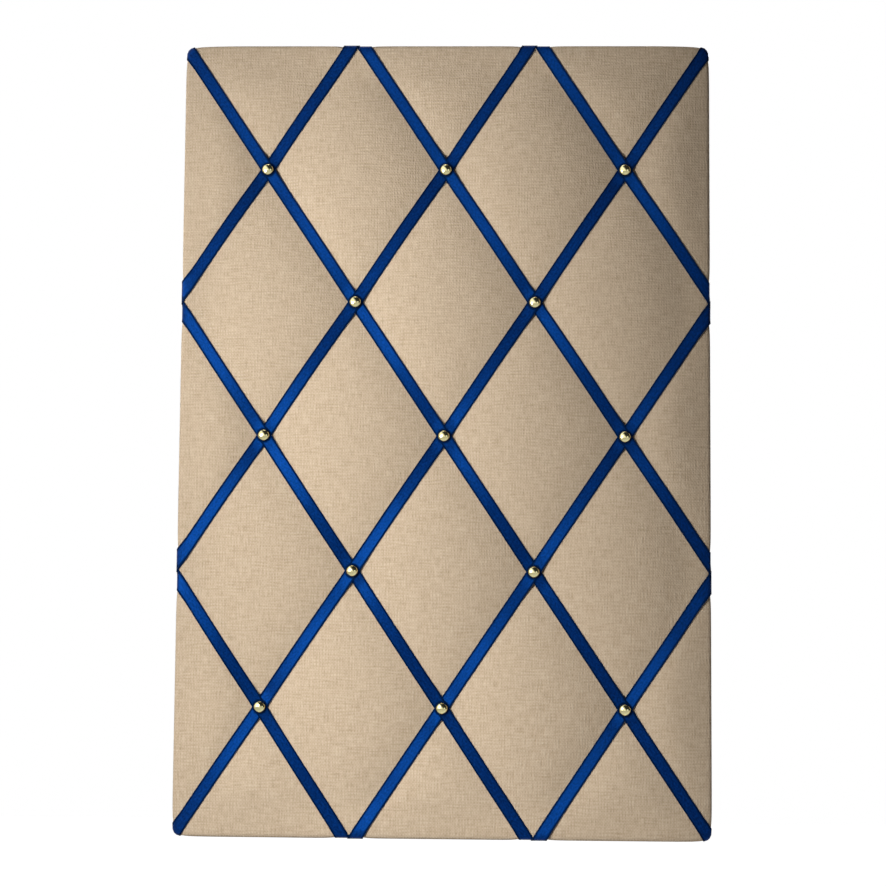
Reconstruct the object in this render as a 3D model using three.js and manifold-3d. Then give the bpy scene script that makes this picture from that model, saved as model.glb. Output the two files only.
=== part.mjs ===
// French memo board: a padded linen panel under an interlaced lattice of satin ribbon, held by dome nails,
// with two strap hangers on the back. Millimetres, +Z up, front towards -Y.
// The origin is the middle of the backing sheet's rear face, which lies against the wall.

import * as THREE from 'three';
import { mergeVertices } from 'three/addons/utils/BufferGeometryUtils.js';
import Module from 'manifold-3d';

const wasm = await Module();
wasm.setup();

// Gap that pieces in contact keep
const FIT = 0.3;

// Softboard panel
const PANEL_WIDTH = 400;
const PANEL_HEIGHT = 600;
const PANEL_THICKNESS = 10;

// Linen cover and the wadding under it
const COVER_THICKNESS = 0.7;
const EDGE_ROLL = 10;
const HEM_DEPTH = 20;
const NAIL_PINCH = 3;
const SWELL = 5.5;
const SWELL_POWER = 1.25;
const WADDING_SETBACK = 1;

// Ribbon lattice
const DIAMONDS = 3;
const SIDE_OVERRUN = 4.5;
const END_OVERRUN = 6.5;
const RIBBON_WIDTH = 9.5;
const RIBBON_THICKNESS = 0.45;
const RIBBON_TAIL = 34;
const CROSSING_MARGIN = 1.5;
const LIFT_RAMP = 8;
const EDGE_EASE = 0.3;

// Dome nails
const NAIL_HEAD_WIDTH = 9;
const NAIL_HEAD_HEIGHT = 3.6;
const NAIL_RIM = 0.6;
const NAIL_SHANK = 1.4;
const NAIL_LENGTH = 12;
const NAIL_POINT = 2;

// Staples over the ribbon tails
const STAPLE_WIRE = 0.7;
const STAPLE_PLAY = 0.3;
const STAPLE_LEG = 6;
const STAPLE_INSET = 6;

// Backing sheet
const BACKING_THICKNESS = 2;
const BACKING_INSET = 12;
const BACKING_CHAMFER = 4;

// Strap hangers
const HANGER_SPREAD = 220;
const HANGER_DROP = 70;
const STRAP_WIDTH = 12;
const STRAP_THICKNESS = 1;
const STRAP_LENGTH = 32;
const EYE_PLAY = 0.35;
const EYE_END_ANGLE = -2.2;
const RING_WIRE = 2.4;
const RING_BAR = 16;
const RING_CORNER = 3.2;
const RING_DEPTH = 14.2;
const SCREW_END_MARGIN = 8;
const SCREW_SHANK = 3;
const SCREW_HEAD_WIDTH = 7;
const SCREW_HEAD_HEIGHT = 2.4;
const SCREW_HEAD_EDGE = 1;
const SCREW_CROWN_WIDTH = 4;
const SCREW_LENGTH = 12;
const SCREW_POINT = 3;
const DRIVE_WIDTH = 0.9;
const DRIVE_SPAN = 3.6;
const DRIVE_DEPTH = 1;

// Facets
const CELLS_PER_HALF_DIAMOND = 4;
const LEAST_CELL_SHARE = 0.25;
const ROLL_STEPS = 3;
const SPAN_STEPS = 4;
const CORNER_STEPS = 4;
const CORNER_FACETS = 6;
const NAIL_FACETS = 10;
const SCREW_FACETS = 12;
const HOLE_FACETS = 8;
const STRAP_FACETS = 7;
const RING_SIDES = 8;
const RING_CORNER_FACETS = 3;
const RING_BOW_FACETS = 12;
const HALVINGS = 50;

// Outline of the covered board and the flat core inside its rolled edge
const OUTLINE_WIDTH = PANEL_WIDTH + 2 * (FIT + COVER_THICKNESS);
const OUTLINE_HEIGHT = PANEL_HEIGHT + 2 * (FIT + COVER_THICKNESS);
const CORE_X = OUTLINE_WIDTH / 2 - EDGE_ROLL;
const CORE_Z = OUTLINE_HEIGHT / 2 - EDGE_ROLL;

// Levels from the wall forward
const HEM_Y = -(BACKING_THICKNESS + FIT + STAPLE_WIRE + FIT + RIBBON_THICKNESS + FIT);
const PANEL_BACK_Y = HEM_Y - COVER_THICKNESS - FIT;
const PANEL_FRONT_Y = PANEL_BACK_Y - PANEL_THICKNESS;
const SIDE_DEPTH = HEM_Y - PANEL_FRONT_Y;

// Distance from the hinge line down to the hanger's screw
const SCREW_DROP = STRAP_LENGTH - SCREW_END_MARGIN;

// Lattice pitch: the outermost crossings lie past the outline, on the board's sides
const PITCH_ACROSS = (OUTLINE_WIDTH + 2 * SIDE_OVERRUN) / DIAMONDS;
const PITCH_DOWN = (OUTLINE_HEIGHT + 2 * END_OVERRUN) / DIAMONDS;
const PITCH_SLANT = Math.hypot(PITCH_ACROSS, PITCH_DOWN);

// Ribbon layers above the cover: the lower one at a crossing, and the upper one
const LOWER_LIFT = FIT;
const UPPER_LIFT = LOWER_LIFT + RIBBON_THICKNESS + FIT;

// Half-length of the flat crossing, and the height at which the nail holds it
const CROSSING_SINE = (2 * PITCH_ACROSS * PITCH_DOWN) / PITCH_SLANT ** 2;
const CROSSING_COSINE = Math.abs(PITCH_DOWN ** 2 - PITCH_ACROSS ** 2) / PITCH_SLANT ** 2;
const CROSSING_REACH = ((RIBBON_WIDTH / 2) * (1 + CROSSING_COSINE)) / CROSSING_SINE + CROSSING_MARGIN;
const CROSSING_HEIGHT = crossingHeight();
const NAIL_SEAT_Y = PANEL_FRONT_Y - (CROSSING_HEIGHT + UPPER_LIFT + RIBBON_THICKNESS + FIT);

const MATERIALS = {
  linen: material('#cbb595', 0.9, 0),
  wadding: material('#f1eee6', 1, 0),
  softboard: material('#a9875a', 0.95, 0),
  satin: material('#123f86', 0.38, 0),
  brass: material('#d9b45a', 0.22, 1),
  staple: material('#b9bcc0', 0.35, 1),
  backing: material('#8a6a48', 0.85, 0),
  steel: material('#c3c6ca', 0.3, 1),
};

function material(color, roughness, metalness) {
  return new THREE.MeshStandardMaterial({ color, roughness, metalness });
}

// Closed bodies

function closedBody(points, triangles) {
  let volume = 0;
  for (let i = 0; i < triangles.length; i += 3) {
    const [a, b, c] = triangles.slice(i, i + 3).map((index) => points[index]);
    volume += a.dot(b.clone().cross(c));
  }
  const index = volume < 0 ? triangles.slice().reverse() : triangles;
  return new THREE.BufferGeometry().setFromPoints(points).setIndex(index);
}

// Rings of points joined in order; an open loft is closed at both ends by strips
function loft(rings, joined = false) {
  const count = rings[0].length;
  const triangles = [];
  const quad = (a, b, c, d) => triangles.push(a, b, c, a, c, d);
  const bands = joined ? rings.length : rings.length - 1;
  for (let ring = 0; ring < bands; ring++) {
    const near = ring * count;
    const far = ((ring + 1) % rings.length) * count;
    for (let k = 0; k < count; k++) {
      const next = (k + 1) % count;
      quad(near + k, near + next, far + next, far + k);
    }
  }
  if (!joined) {
    const last = (rings.length - 1) * count;
    for (let k = 0; k < count / 2 - 1; k++) {
      quad(k + 1, k, count - 1 - k, count - 2 - k);
      quad(last + k, last + k + 1, last + count - 2 - k, last + count - 1 - k);
    }
  }
  return closedBody(rings.flat(), triangles);
}

function lathe(profile, segments) {
  const points = profile.map(([radius, along]) => new THREE.Vector2(radius, along));
  return new THREE.LatheGeometry(points, segments);
}

function solid(geometry) {
  const bare = new THREE.BufferGeometry();
  bare.setAttribute('position', geometry.getAttribute('position'));
  bare.setIndex(geometry.getIndex());
  const merged = mergeVertices(bare, 1e-4);
  const vertProperties = new Float32Array(merged.getAttribute('position').array);
  const triVerts = new Uint32Array(merged.getIndex().array);
  return new wasm.Manifold(new wasm.Mesh({ numProp: 3, vertProperties, triVerts }));
}

function shape(body) {
  const mesh = body.getMesh();
  const geometry = new THREE.BufferGeometry();
  geometry.setAttribute('position', new THREE.BufferAttribute(mesh.vertProperties, 3));
  geometry.setIndex(new THREE.BufferAttribute(mesh.triVerts, 1));
  return geometry;
}

function cut(geometry, cutters) {
  const cutBody = cutters.reduce((body, cutter) => body.subtract(solid(cutter)), solid(geometry));
  return shape(cutBody);
}

function piece(name, geometry, finish) {
  const mesh = new THREE.Mesh(geometry, finish);
  mesh.name = name;
  return mesh;
}

// The padded face

// Height of the cover above the panel: a valley along every ribbon, deepest where two valleys meet at a nail
function swell(x, z) {
  const arch = (turn) => Math.abs(Math.sin(Math.PI * turn)) ** SWELL_POWER;
  const fall = z / PITCH_DOWN + x / PITCH_ACROSS;
  const rise = z / PITCH_DOWN - x / PITCH_ACROSS;
  return NAIL_PINCH + SWELL * (arch(fall) + arch(rise));
}

function crossingHeight() {
  const along = CROSSING_REACH / PITCH_SLANT;
  const across = RIBBON_WIDTH / 2 / PITCH_SLANT;
  const corner = (side) => {
    const x = along * PITCH_ACROSS + side * across * PITCH_DOWN;
    const z = along * PITCH_DOWN - side * across * PITCH_ACROSS;
    return swell(x, z);
  };
  return Math.max(corner(1), corner(-1));
}

// How far a point of the outline's rolled border has gone round the roll: 0 on the core, 1 at the outline
function rollAt(x, z) {
  const coreX = THREE.MathUtils.clamp(x, -CORE_X, CORE_X);
  const coreZ = THREE.MathUtils.clamp(z, -CORE_Z, CORE_Z);
  const rollX = (x - coreX) / EDGE_ROLL;
  const rollZ = (z - coreZ) / EDGE_ROLL;
  return { coreX, coreZ, rollX, rollZ, radius: Math.hypot(rollX, rollZ) };
}

// A point of the padded face, or of a layer that lies a given offset above or below it
function skin(x, z, offset, rimOffset = offset) {
  const { coreX, coreZ, rollX, rollZ, radius } = rollAt(x, z);
  const slope = Math.sqrt(Math.max(0, 1 - radius ** 2));
  const rim = EDGE_ROLL + rimOffset;
  const y = PANEL_FRONT_Y - (swell(x, z) + offset) * slope;
  return new THREE.Vector3(coreX + rollX * rim, y, coreZ + rollZ * rim);
}

// Grid lines: even cells over the diamonds, then the steps of the rolled edge
function gridLines(pitch, core) {
  const cell = pitch / (2 * CELLS_PER_HALF_DIAMOND);
  const half = Math.floor(core / cell - LEAST_CELL_SHARE);
  const lines = [];
  for (let k = -half; k <= half; k++) lines.push(k * cell);
  for (let step = 0; step <= ROLL_STEPS; step++) {
    const edge = core + EDGE_ROLL * Math.sin((Math.PI / 2) * (step / ROLL_STEPS));
    lines.push(edge);
    lines.unshift(-edge);
  }
  return lines;
}

// The rolled border's square corner cells drawn in to a round corner
function roundCorner(x, z) {
  const { coreX, coreZ, rollX, rollZ } = rollAt(x, z);
  const roundX = rollX * Math.sqrt(1 - rollZ ** 2 / 2);
  const roundZ = rollZ * Math.sqrt(1 - rollX ** 2 / 2);
  return [coreX + EDGE_ROLL * roundX, coreZ + EDGE_ROLL * roundZ];
}

const COLUMNS = gridLines(PITCH_ACROSS, CORE_X);
const ROWS = gridLines(PITCH_DOWN, CORE_Z);

function faceGrid(place) {
  return ROWS.flatMap((z) => COLUMNS.map((x) => place(...roundCorner(x, z))));
}

// Two triangles a cell, split along the ribbon that crosses it
function faceTriangles(start, facing) {
  const nearest = (turn) => Math.abs(turn - Math.round(turn));
  const triangles = [];
  for (let row = 0; row < ROWS.length - 1; row++) {
    for (let column = 0; column < COLUMNS.length - 1; column++) {
      const x = (COLUMNS[column] + COLUMNS[column + 1]) / 2 / PITCH_ACROSS;
      const z = (ROWS[row] + ROWS[row + 1]) / 2 / PITCH_DOWN;
      const a = start + row * COLUMNS.length + column;
      const b = a + 1;
      const c = b + COLUMNS.length;
      const d = a + COLUMNS.length;
      const split = nearest(z - x) < nearest(z + x) ? [a, b, c, a, c, d] : [a, b, d, b, c, d];
      triangles.push(...(facing < 0 ? split.reverse() : split));
    }
  }
  return triangles;
}

// Places in the grid that go once round its border
function borderLoop() {
  const wide = COLUMNS.length;
  const tall = ROWS.length;
  const loop = [];
  for (let k = 0; k < wide - 1; k++) loop.push(k);
  for (let k = 0; k < tall - 1; k++) loop.push(k * wide + wide - 1);
  for (let k = wide - 1; k > 0; k--) loop.push((tall - 1) * wide + k);
  for (let k = tall - 1; k > 0; k--) loop.push(k * wide);
  return loop;
}

function bridge(triangles, near, far) {
  for (let k = 0; k < near.length; k++) {
    const next = (k + 1) % near.length;
    triangles.push(near[k], far[k], far[next], near[k], far[next], near[next]);
  }
}

function borderPlan() {
  return borderLoop().map((place) => {
    const x = COLUMNS[place % COLUMNS.length];
    const z = ROWS[Math.floor(place / COLUMNS.length)];
    return roundCorner(x, z);
  });
}

// A shell over the padded face, round the sides and in over the back as a hem
function coverGeometry() {
  const outer = faceGrid((x, z) => skin(x, z, 0));
  const inner = faceGrid((x, z) => skin(x, z, -COVER_THICKNESS));
  const hemX = 1 - HEM_DEPTH / (OUTLINE_WIDTH / 2);
  const hemZ = 1 - HEM_DEPTH / (OUTLINE_HEIGHT / 2);
  const innerY = HEM_Y - COVER_THICKNESS;
  const plan = borderPlan();
  const rings = [
    plan.map(([x, z]) => skin(x, z, 0).setY(HEM_Y)),
    plan.map(([x, z]) => new THREE.Vector3(x * hemX, HEM_Y, z * hemZ)),
    plan.map(([x, z]) => new THREE.Vector3(x * hemX, innerY, z * hemZ)),
    plan.map(([x, z]) => skin(x, z, -COVER_THICKNESS).setY(innerY)),
  ];
  const points = [...outer, ...inner, ...rings.flat()];
  const triangles = [...faceTriangles(0, 1), ...faceTriangles(outer.length, -1)];
  const outerLoop = borderLoop();
  const ringStart = outer.length + inner.length;
  const loops = rings.map((ring, k) => ring.map((point, i) => ringStart + k * ring.length + i));
  const path = [outerLoop, ...loops, outerLoop.map((place) => place + outer.length)];
  for (let k = 0; k < path.length - 1; k++) bridge(triangles, path[k], path[k + 1]);
  return closedBody(points, triangles);
}

// Padding that fills the cover, flat on the panel
function waddingGeometry() {
  const depth = -(COVER_THICKNESS + FIT);
  const base = PANEL_FRONT_Y - FIT;
  const top = faceGrid((x, z) => {
    const point = skin(x, z, depth, depth - WADDING_SETBACK);
    return point.setY(Math.min(point.y, base));
  });
  const middle = top.length;
  const triangles = faceTriangles(0, 1);
  const loop = borderLoop();
  loop.forEach((place, k) => triangles.push(place, middle, loop[(k + 1) % loop.length]));
  return closedBody([...top, new THREE.Vector3(0, base, 0)], triangles);
}

// Ribbons

// One ribbon: hand 1 falls to the right and -1 rises to the right; lanes count up from the middle ribbon
function ribbonRun(hand, lane) {
  const along = new THREE.Vector2(-hand * PITCH_ACROSS, PITCH_DOWN).divideScalar(PITCH_SLANT);
  const across = new THREE.Vector2(PITCH_DOWN, hand * PITCH_ACROSS).divideScalar(PITCH_SLANT);
  const middle = new THREE.Vector2((hand * lane * PITCH_ACROSS) / 2, (lane * PITCH_DOWN) / 2);
  const reach = DIAMONDS - Math.abs(lane);
  const at = (run, side) =>
    middle.clone().addScaledVector(along, run).addScaledVector(across, (side * RIBBON_WIDTH) / 2);
  const isUpper = (node) => (hand > 0) === ((lane + node) % 2 === 0);
  const liftAt = (node) => (isUpper(node) ? UPPER_LIFT : LOWER_LIFT);
  const sides = lane === 0 ? [-1, 0, 1] : [-1, 1];
  return { hand, lane, along, across, reach, at, isUpper, liftAt, sides };
}

// Where a ribbon leaves the face at one end, which is 1 for the upper and -1 for the lower
function ribbonEnd(run, end) {
  const node = end * run.reach;
  const place = run.at((node * PITCH_SLANT) / 2, 0);
  const outward = run.along.clone().multiplyScalar(end);
  const onSide = Math.abs(run.lane - node) === DIAMONDS;
  const onCorner = onSide && Math.abs(run.lane + node) === DIAMONDS;
  const normal = onSide ? 'x' : 'y';
  const tangent = onSide ? 'y' : 'x';
  const half = onSide ? OUTLINE_WIDTH / 2 : OUTLINE_HEIGHT / 2;
  const overrun = onSide ? SIDE_OVERRUN : END_OVERRUN;
  const facing = Math.sign(place[normal]);
  const climb = Math.abs(outward[normal]);
  const drift = outward[tangent] / climb;
  const halfWidth = ((RIBBON_WIDTH / 2) * Math.sign(run.across[tangent])) / climb;
  const lead = (RIBBON_WIDTH / 2) * Math.abs(run.across[normal]);
  const flatLevel = half - EDGE_ROLL - lead;
  return {
    end, node, place, outward, onCorner, normal, tangent,
    half, overrun, facing, climb, drift, halfWidth, flatLevel,
  };
}

// Distance along a ribbon, from its middle, at which it reaches a height over the normal axis of one end
function runTo(run, exit, level) {
  const start = run.at(0, 0)[exit.normal] * exit.facing;
  return (exit.end * (level - start)) / exit.climb;
}

// Stations on the face: a flat crossing at each nail and even steps between
function faceStations(run) {
  const nodes = [];
  for (let node = 1 - run.reach; node < run.reach; node++) nodes.push(node);
  const spot = (distance, lift, isFlat) => ({
    lift,
    row: (offset) =>
      run.sides.map((side) => {
        const plan = run.at(distance, side);
        if (!isFlat) return skin(plan.x, plan.y, offset);
        return new THREE.Vector3(plan.x, PANEL_FRONT_Y - CROSSING_HEIGHT - offset, plan.y);
      }),
  });
  const between = (from, to, steps) => {
    const inner = [];
    for (let k = 1; k < steps; k++) inner.push(spot(from + ((to - from) * k) / steps, LOWER_LIFT, false));
    return inner;
  };
  const ends = [-1, 1].map((end) => {
    const exit = ribbonEnd(run, end);
    return runTo(run, exit, exit.flatLevel);
  });
  const stations = [spot(ends[0], LOWER_LIFT, false)];
  let last = ends[0];
  for (const node of nodes) {
    const place = (node * PITCH_SLANT) / 2;
    stations.push(...between(last, place - CROSSING_REACH, SPAN_STEPS));
    stations.push(spot(place - CROSSING_REACH, run.liftAt(node), true));
    stations.push(spot(place + CROSSING_REACH, run.liftAt(node), true));
    last = place + CROSSING_REACH;
  }
  stations.push(...between(last, ends[1], SPAN_STEPS));
  stations.push(spot(ends[1], LOWER_LIFT, false));
  return stations;
}

// Stations round a straight edge: over the roll, down the side, and in over the back to the tail's end
function edgeStations(run, exit) {
  const plan = (level, travel, side) => {
    const point = new THREE.Vector2();
    point[exit.normal] = exit.facing * level;
    point[exit.tangent] = exit.place[exit.tangent] + exit.drift * travel + side * exit.halfWidth;
    return point;
  };
  const lift = run.liftAt(exit.node) + EDGE_EASE;
  const stations = [];
  for (let step = 0; step <= ROLL_STEPS; step++) {
    const level = exit.half - EDGE_ROLL + EDGE_ROLL * Math.sin((Math.PI / 2) * (step / ROLL_STEPS));
    const travel = level - exit.half - exit.overrun;
    const row = (offset) =>
      run.sides.map((side) => {
        const point = plan(level, travel, side);
        return skin(point.x, point.y, offset);
      });
    stations.push({ lift, row });
  }
  const fold = SIDE_DEPTH - exit.overrun;
  const foldRow = (offset) =>
    run.sides.map((side) => {
      const point = plan(exit.half, fold, side);
      return skin(point.x, point.y, offset).setY(HEM_Y + offset);
    });
  stations.push({ lift, row: foldRow });
  const backSpot = (inward, backLift) => ({
    lift: backLift,
    row: (offset) =>
      run.sides.map((side) => {
        const point = plan(exit.half - inward, fold + inward, side);
        return new THREE.Vector3(point.x, HEM_Y + offset, point.y);
      }),
  });
  if (run.isUpper(exit.node)) {
    const crossingHalf = RIBBON_WIDTH / 2 / Math.abs(exit.drift * exit.climb);
    const crossed = Math.max(0, crossingHalf - fold) + CROSSING_MARGIN;
    stations.push(backSpot(crossed, lift), backSpot(crossed + LIFT_RAMP, LOWER_LIFT));
  }
  stations.push(backSpot(RIBBON_TAIL, LOWER_LIFT));
  return stations;
}

// Distance from a point to the outline along a direction, by halving
function outlineDistance(from, direction) {
  let near = 0;
  let far = OUTLINE_WIDTH;
  for (let k = 0; k < HALVINGS; k++) {
    const middle = (near + far) / 2;
    const point = from.clone().addScaledVector(direction, middle);
    if (rollAt(point.x, point.y).radius < 1) near = middle;
    else far = middle;
  }
  return near;
}

// Stations round a corner of the board, which only a middle ribbon meets
function cornerStations(run, exit) {
  const flat = runTo(run, exit, exit.flatLevel);
  const lift = LOWER_LIFT + EDGE_EASE;
  const rim = run.sides.map((side) => outlineDistance(run.at(flat, side), exit.outward));
  const spot = (share, setBack) => ({
    lift,
    row: (offset) =>
      run.sides.map((side, k) => {
        const point = run.at(flat, side).addScaledVector(exit.outward, rim[k] * share);
        const placed = skin(point.x, point.y, offset);
        return setBack ? placed.setY(HEM_Y + offset) : placed;
      }),
  });
  const backSpot = (distance) => ({
    lift: LOWER_LIFT,
    row: (offset) =>
      run.sides.map((side) => {
        const point = run.at(distance, side);
        return new THREE.Vector3(point.x, HEM_Y + offset, point.y);
      }),
  });
  const stations = [];
  for (let step = 1; step <= CORNER_STEPS; step++) {
    stations.push(spot(Math.sin((Math.PI / 2) * (step / CORNER_STEPS)), false));
  }
  stations.push(spot(1, true), backSpot(flat));
  stations.push(backSpot(runTo(run, exit, exit.half - RIBBON_TAIL)));
  return stations;
}

function endStations(run, end) {
  const exit = ribbonEnd(run, end);
  return exit.onCorner ? cornerStations(run, exit) : edgeStations(run, exit);
}

function ribbonGeometry(run) {
  const stations = [...endStations(run, -1).reverse(), ...faceStations(run), ...endStations(run, 1)];
  const rings = stations.map(({ lift, row }) => [
    ...row(lift + RIBBON_THICKNESS),
    ...row(lift).reverse(),
  ]);
  return loft(rings);
}

const RIBBON_RUNS = [];
for (const hand of [1, -1]) {
  for (let lane = 1 - DIAMONDS; lane < DIAMONDS; lane++) RIBBON_RUNS.push(ribbonRun(hand, lane));
}

function ribbonName(run) {
  return `${run.hand > 0 ? 'fall' : 'rise'}_${run.lane + DIAMONDS}`;
}

// Dome nails

const NAIL_PLACES = [];
for (let row = DIAMONDS - 1; row > -DIAMONDS; row--) {
  let place = 0;
  for (let column = 1 - DIAMONDS; column < DIAMONDS; column++) {
    if ((row + column) % 2 !== 0) continue;
    place += 1;
    const name = `dome_nail_${DIAMONDS - row}_${place}`;
    NAIL_PLACES.push({ name, x: (column * PITCH_ACROSS) / 2, z: (row * PITCH_DOWN) / 2 });
  }
}

function nailGeometry() {
  const head = NAIL_HEAD_WIDTH / 2;
  const shank = NAIL_SHANK / 2;
  const crown = NAIL_HEAD_HEIGHT - NAIL_RIM;
  const dome = (angle) => [head * Math.cos(angle), -NAIL_RIM - crown * Math.sin(angle)];
  return lathe([
    [0, -NAIL_HEAD_HEIGHT],
    dome(Math.PI / 3),
    dome(Math.PI / 6),
    dome(0),
    [head, 0],
    [shank, 0],
    [shank, NAIL_LENGTH - NAIL_POINT],
    [0, NAIL_LENGTH],
  ], NAIL_FACETS);
}

// A four-sided hole through the soft layers, and a blind one in the panel, at each nail
function nailCutter({ x, z }, depth) {
  const radius = (NAIL_SHANK / 2 + FIT) * Math.SQRT2;
  const cutter = new THREE.CylinderGeometry(radius, radius, depth, 4);
  return cutter.translate(x, NAIL_SEAT_Y + depth / 2 - NAIL_HEAD_HEIGHT, z);
}

const NAIL_CUTTERS = NAIL_PLACES.map((place) => nailCutter(place, NAIL_HEAD_HEIGHT + NAIL_LENGTH + FIT));

// Staples

const STAPLE_INSIDE = RIBBON_WIDTH + 2 * STAPLE_PLAY;
const STAPLE_Y = HEM_Y + LOWER_LIFT + RIBBON_THICKNESS + FIT;

function staplePlaces() {
  return RIBBON_RUNS.flatMap((run) =>
    [-1, 1].map((end) => {
      const exit = ribbonEnd(run, end);
      const inward = RIBBON_TAIL - STAPLE_INSET;
      const name = `tail_staple_${ribbonName(run)}_${end > 0 ? 'upper' : 'lower'}`;
      const crown = run.across.clone();
      if (exit.onCorner) {
        const point = run.at(runTo(run, exit, exit.half - inward), 0);
        return { name, point, crown };
      }
      const point = new THREE.Vector2();
      point[exit.normal] = exit.facing * (exit.half - inward);
      point[exit.tangent] = exit.place[exit.tangent] + exit.drift * (SIDE_DEPTH - exit.overrun + inward);
      crown[exit.normal] *= -1;
      return { name, point, crown };
    }),
  );
}

const STAPLE_PLACES = staplePlaces();

function stapleGeometry() {
  const inside = STAPLE_INSIDE / 2;
  const outside = inside + STAPLE_WIRE;
  const outline = new THREE.Shape();
  outline.moveTo(-outside, STAPLE_WIRE);
  outline.lineTo(-outside, -STAPLE_LEG);
  outline.lineTo(-inside, -STAPLE_LEG);
  outline.lineTo(-inside, 0);
  outline.lineTo(inside, 0);
  outline.lineTo(inside, -STAPLE_LEG);
  outline.lineTo(outside, -STAPLE_LEG);
  outline.lineTo(outside, STAPLE_WIRE);
  const wire = new THREE.ExtrudeGeometry(outline, { depth: STAPLE_WIRE, bevelEnabled: false });
  return wire.translate(0, 0, -STAPLE_WIRE / 2);
}

function placeStaple(object, { point, crown }) {
  object.position.set(point.x, STAPLE_Y, point.y);
  object.rotation.y = Math.atan2(-crown.y, crown.x);
  object.updateMatrix();
  return object;
}

function stapleCutters() {
  const size = STAPLE_WIRE + 2 * FIT;
  const leg = (STAPLE_INSIDE + STAPLE_WIRE) / 2;
  return STAPLE_PLACES.flatMap((place) =>
    [-1, 1].map((side) => {
      const spot = placeStaple(new THREE.Object3D(), place);
      const cutter = new THREE.BoxGeometry(size, 2 * (STAPLE_LEG + FIT), size);
      return cutter.translate(side * leg, 0, 0).applyMatrix4(spot.matrix);
    }),
  );
}

// Strap hangers

const HINGE_Z = PANEL_HEIGHT / 2 - HANGER_DROP;
const EYE_INSIDE = RING_WIRE / 2 + EYE_PLAY;
const EYE_OUTSIDE = EYE_INSIDE + STRAP_THICKNESS;
const EYE_Y = FIT + EYE_OUTSIDE;
const STRAP_BACK_Y = FIT + STRAP_THICKNESS;
const SCREW_SEAT_Y = STRAP_BACK_Y + FIT;
const HANGER_PLACES = [
  { name: 'left', x: -HANGER_SPREAD / 2 },
  { name: 'right', x: HANGER_SPREAD / 2 },
];

function screwCutter(x, z) {
  const radius = SCREW_SHANK / 2 + FIT;
  const depth = SCREW_LENGTH + FIT;
  const cutter = new THREE.CylinderGeometry(radius, radius, 2 * depth, HOLE_FACETS);
  return cutter.translate(x, SCREW_SEAT_Y, z);
}

// A strip bent back on itself into an eye, with a round lower end and one screw hole
function strapGeometry() {
  const side = new THREE.Shape();
  side.moveTo(FIT, -STRAP_LENGTH);
  side.lineTo(FIT, 0);
  side.absarc(EYE_Y, 0, EYE_OUTSIDE, Math.PI, EYE_END_ANGLE, true);
  side.absarc(EYE_Y, 0, EYE_INSIDE, EYE_END_ANGLE, Math.PI, false);
  side.lineTo(STRAP_BACK_Y, -STRAP_LENGTH);
  const bending = { depth: STRAP_WIDTH, bevelEnabled: false, curveSegments: STRAP_FACETS };
  const bent = new THREE.ExtrudeGeometry(side, bending);
  const [ax, ay, az] = [[1, 0, 0], [0, 1, 0], [0, 0, 1]].map((axis) => new THREE.Vector3(...axis));
  bent.translate(0, 0, -STRAP_WIDTH / 2).applyMatrix4(new THREE.Matrix4().makeBasis(ay, az, ax));

  const half = STRAP_WIDTH / 2;
  const front = new THREE.Shape();
  front.moveTo(-half, 2 * EYE_OUTSIDE);
  front.lineTo(-half, half - STRAP_LENGTH);
  front.absarc(0, half - STRAP_LENGTH, half, Math.PI, 2 * Math.PI, false);
  front.lineTo(half, 2 * EYE_OUTSIDE);
  const depth = 2 * (EYE_Y + EYE_OUTSIDE);
  const blank = new THREE.ExtrudeGeometry(front, { depth, bevelEnabled: false, curveSegments: STRAP_FACETS });
  blank.translate(0, 0, -depth / 2).rotateX(Math.PI / 2);
  const rounded = solid(bent).intersect(solid(blank));
  return shape(rounded.subtract(solid(screwCutter(0, -SCREW_DROP))));
}

// A round wire bent into a D, hanging from its straight bar
function ringGeometry() {
  const path = new THREE.Path();
  path.moveTo(-RING_BAR / 2, 0);
  path.lineTo(RING_BAR / 2, 0);
  path.absarc(RING_BAR / 2, -RING_CORNER, RING_CORNER, Math.PI / 2, 0, true);
  const bowWidth = RING_BAR / 2 + RING_CORNER;
  path.absellipse(0, -RING_CORNER, bowWidth, RING_DEPTH - RING_CORNER, 0, -Math.PI, true);
  path.absarc(-RING_BAR / 2, -RING_CORNER, RING_CORNER, Math.PI, Math.PI / 2, true);
  const [bar, corner, bow, lastCorner] = path.curves;
  const plan = [
    ...bar.getPoints(1),
    ...corner.getPoints(RING_CORNER_FACETS).slice(1),
    ...bow.getPoints(RING_BOW_FACETS).slice(1),
    ...lastCorner.getPoints(RING_CORNER_FACETS).slice(1, -1),
  ];
  const rings = plan.map((point, k) => {
    const before = plan[(k + plan.length - 1) % plan.length];
    const after = plan[(k + 1) % plan.length];
    const arriving = point.clone().sub(before).normalize();
    const leaving = after.clone().sub(point).normalize();
    const heading = arriving.clone().add(leaving).normalize();
    const mitre = 1 / heading.dot(leaving);
    const outward = new THREE.Vector2(heading.y, -heading.x).multiplyScalar(mitre);
    return Array.from({ length: RING_SIDES }, (unused, side) => {
      const angle = ((side + 0.5) / RING_SIDES) * 2 * Math.PI;
      const spread = (RING_WIRE / 2) * Math.cos(angle);
      const raised = (RING_WIRE / 2) * Math.sin(angle);
      return new THREE.Vector3(point.x + outward.x * spread, raised, point.y + outward.y * spread);
    });
  });
  return loft(rings, true);
}

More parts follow.
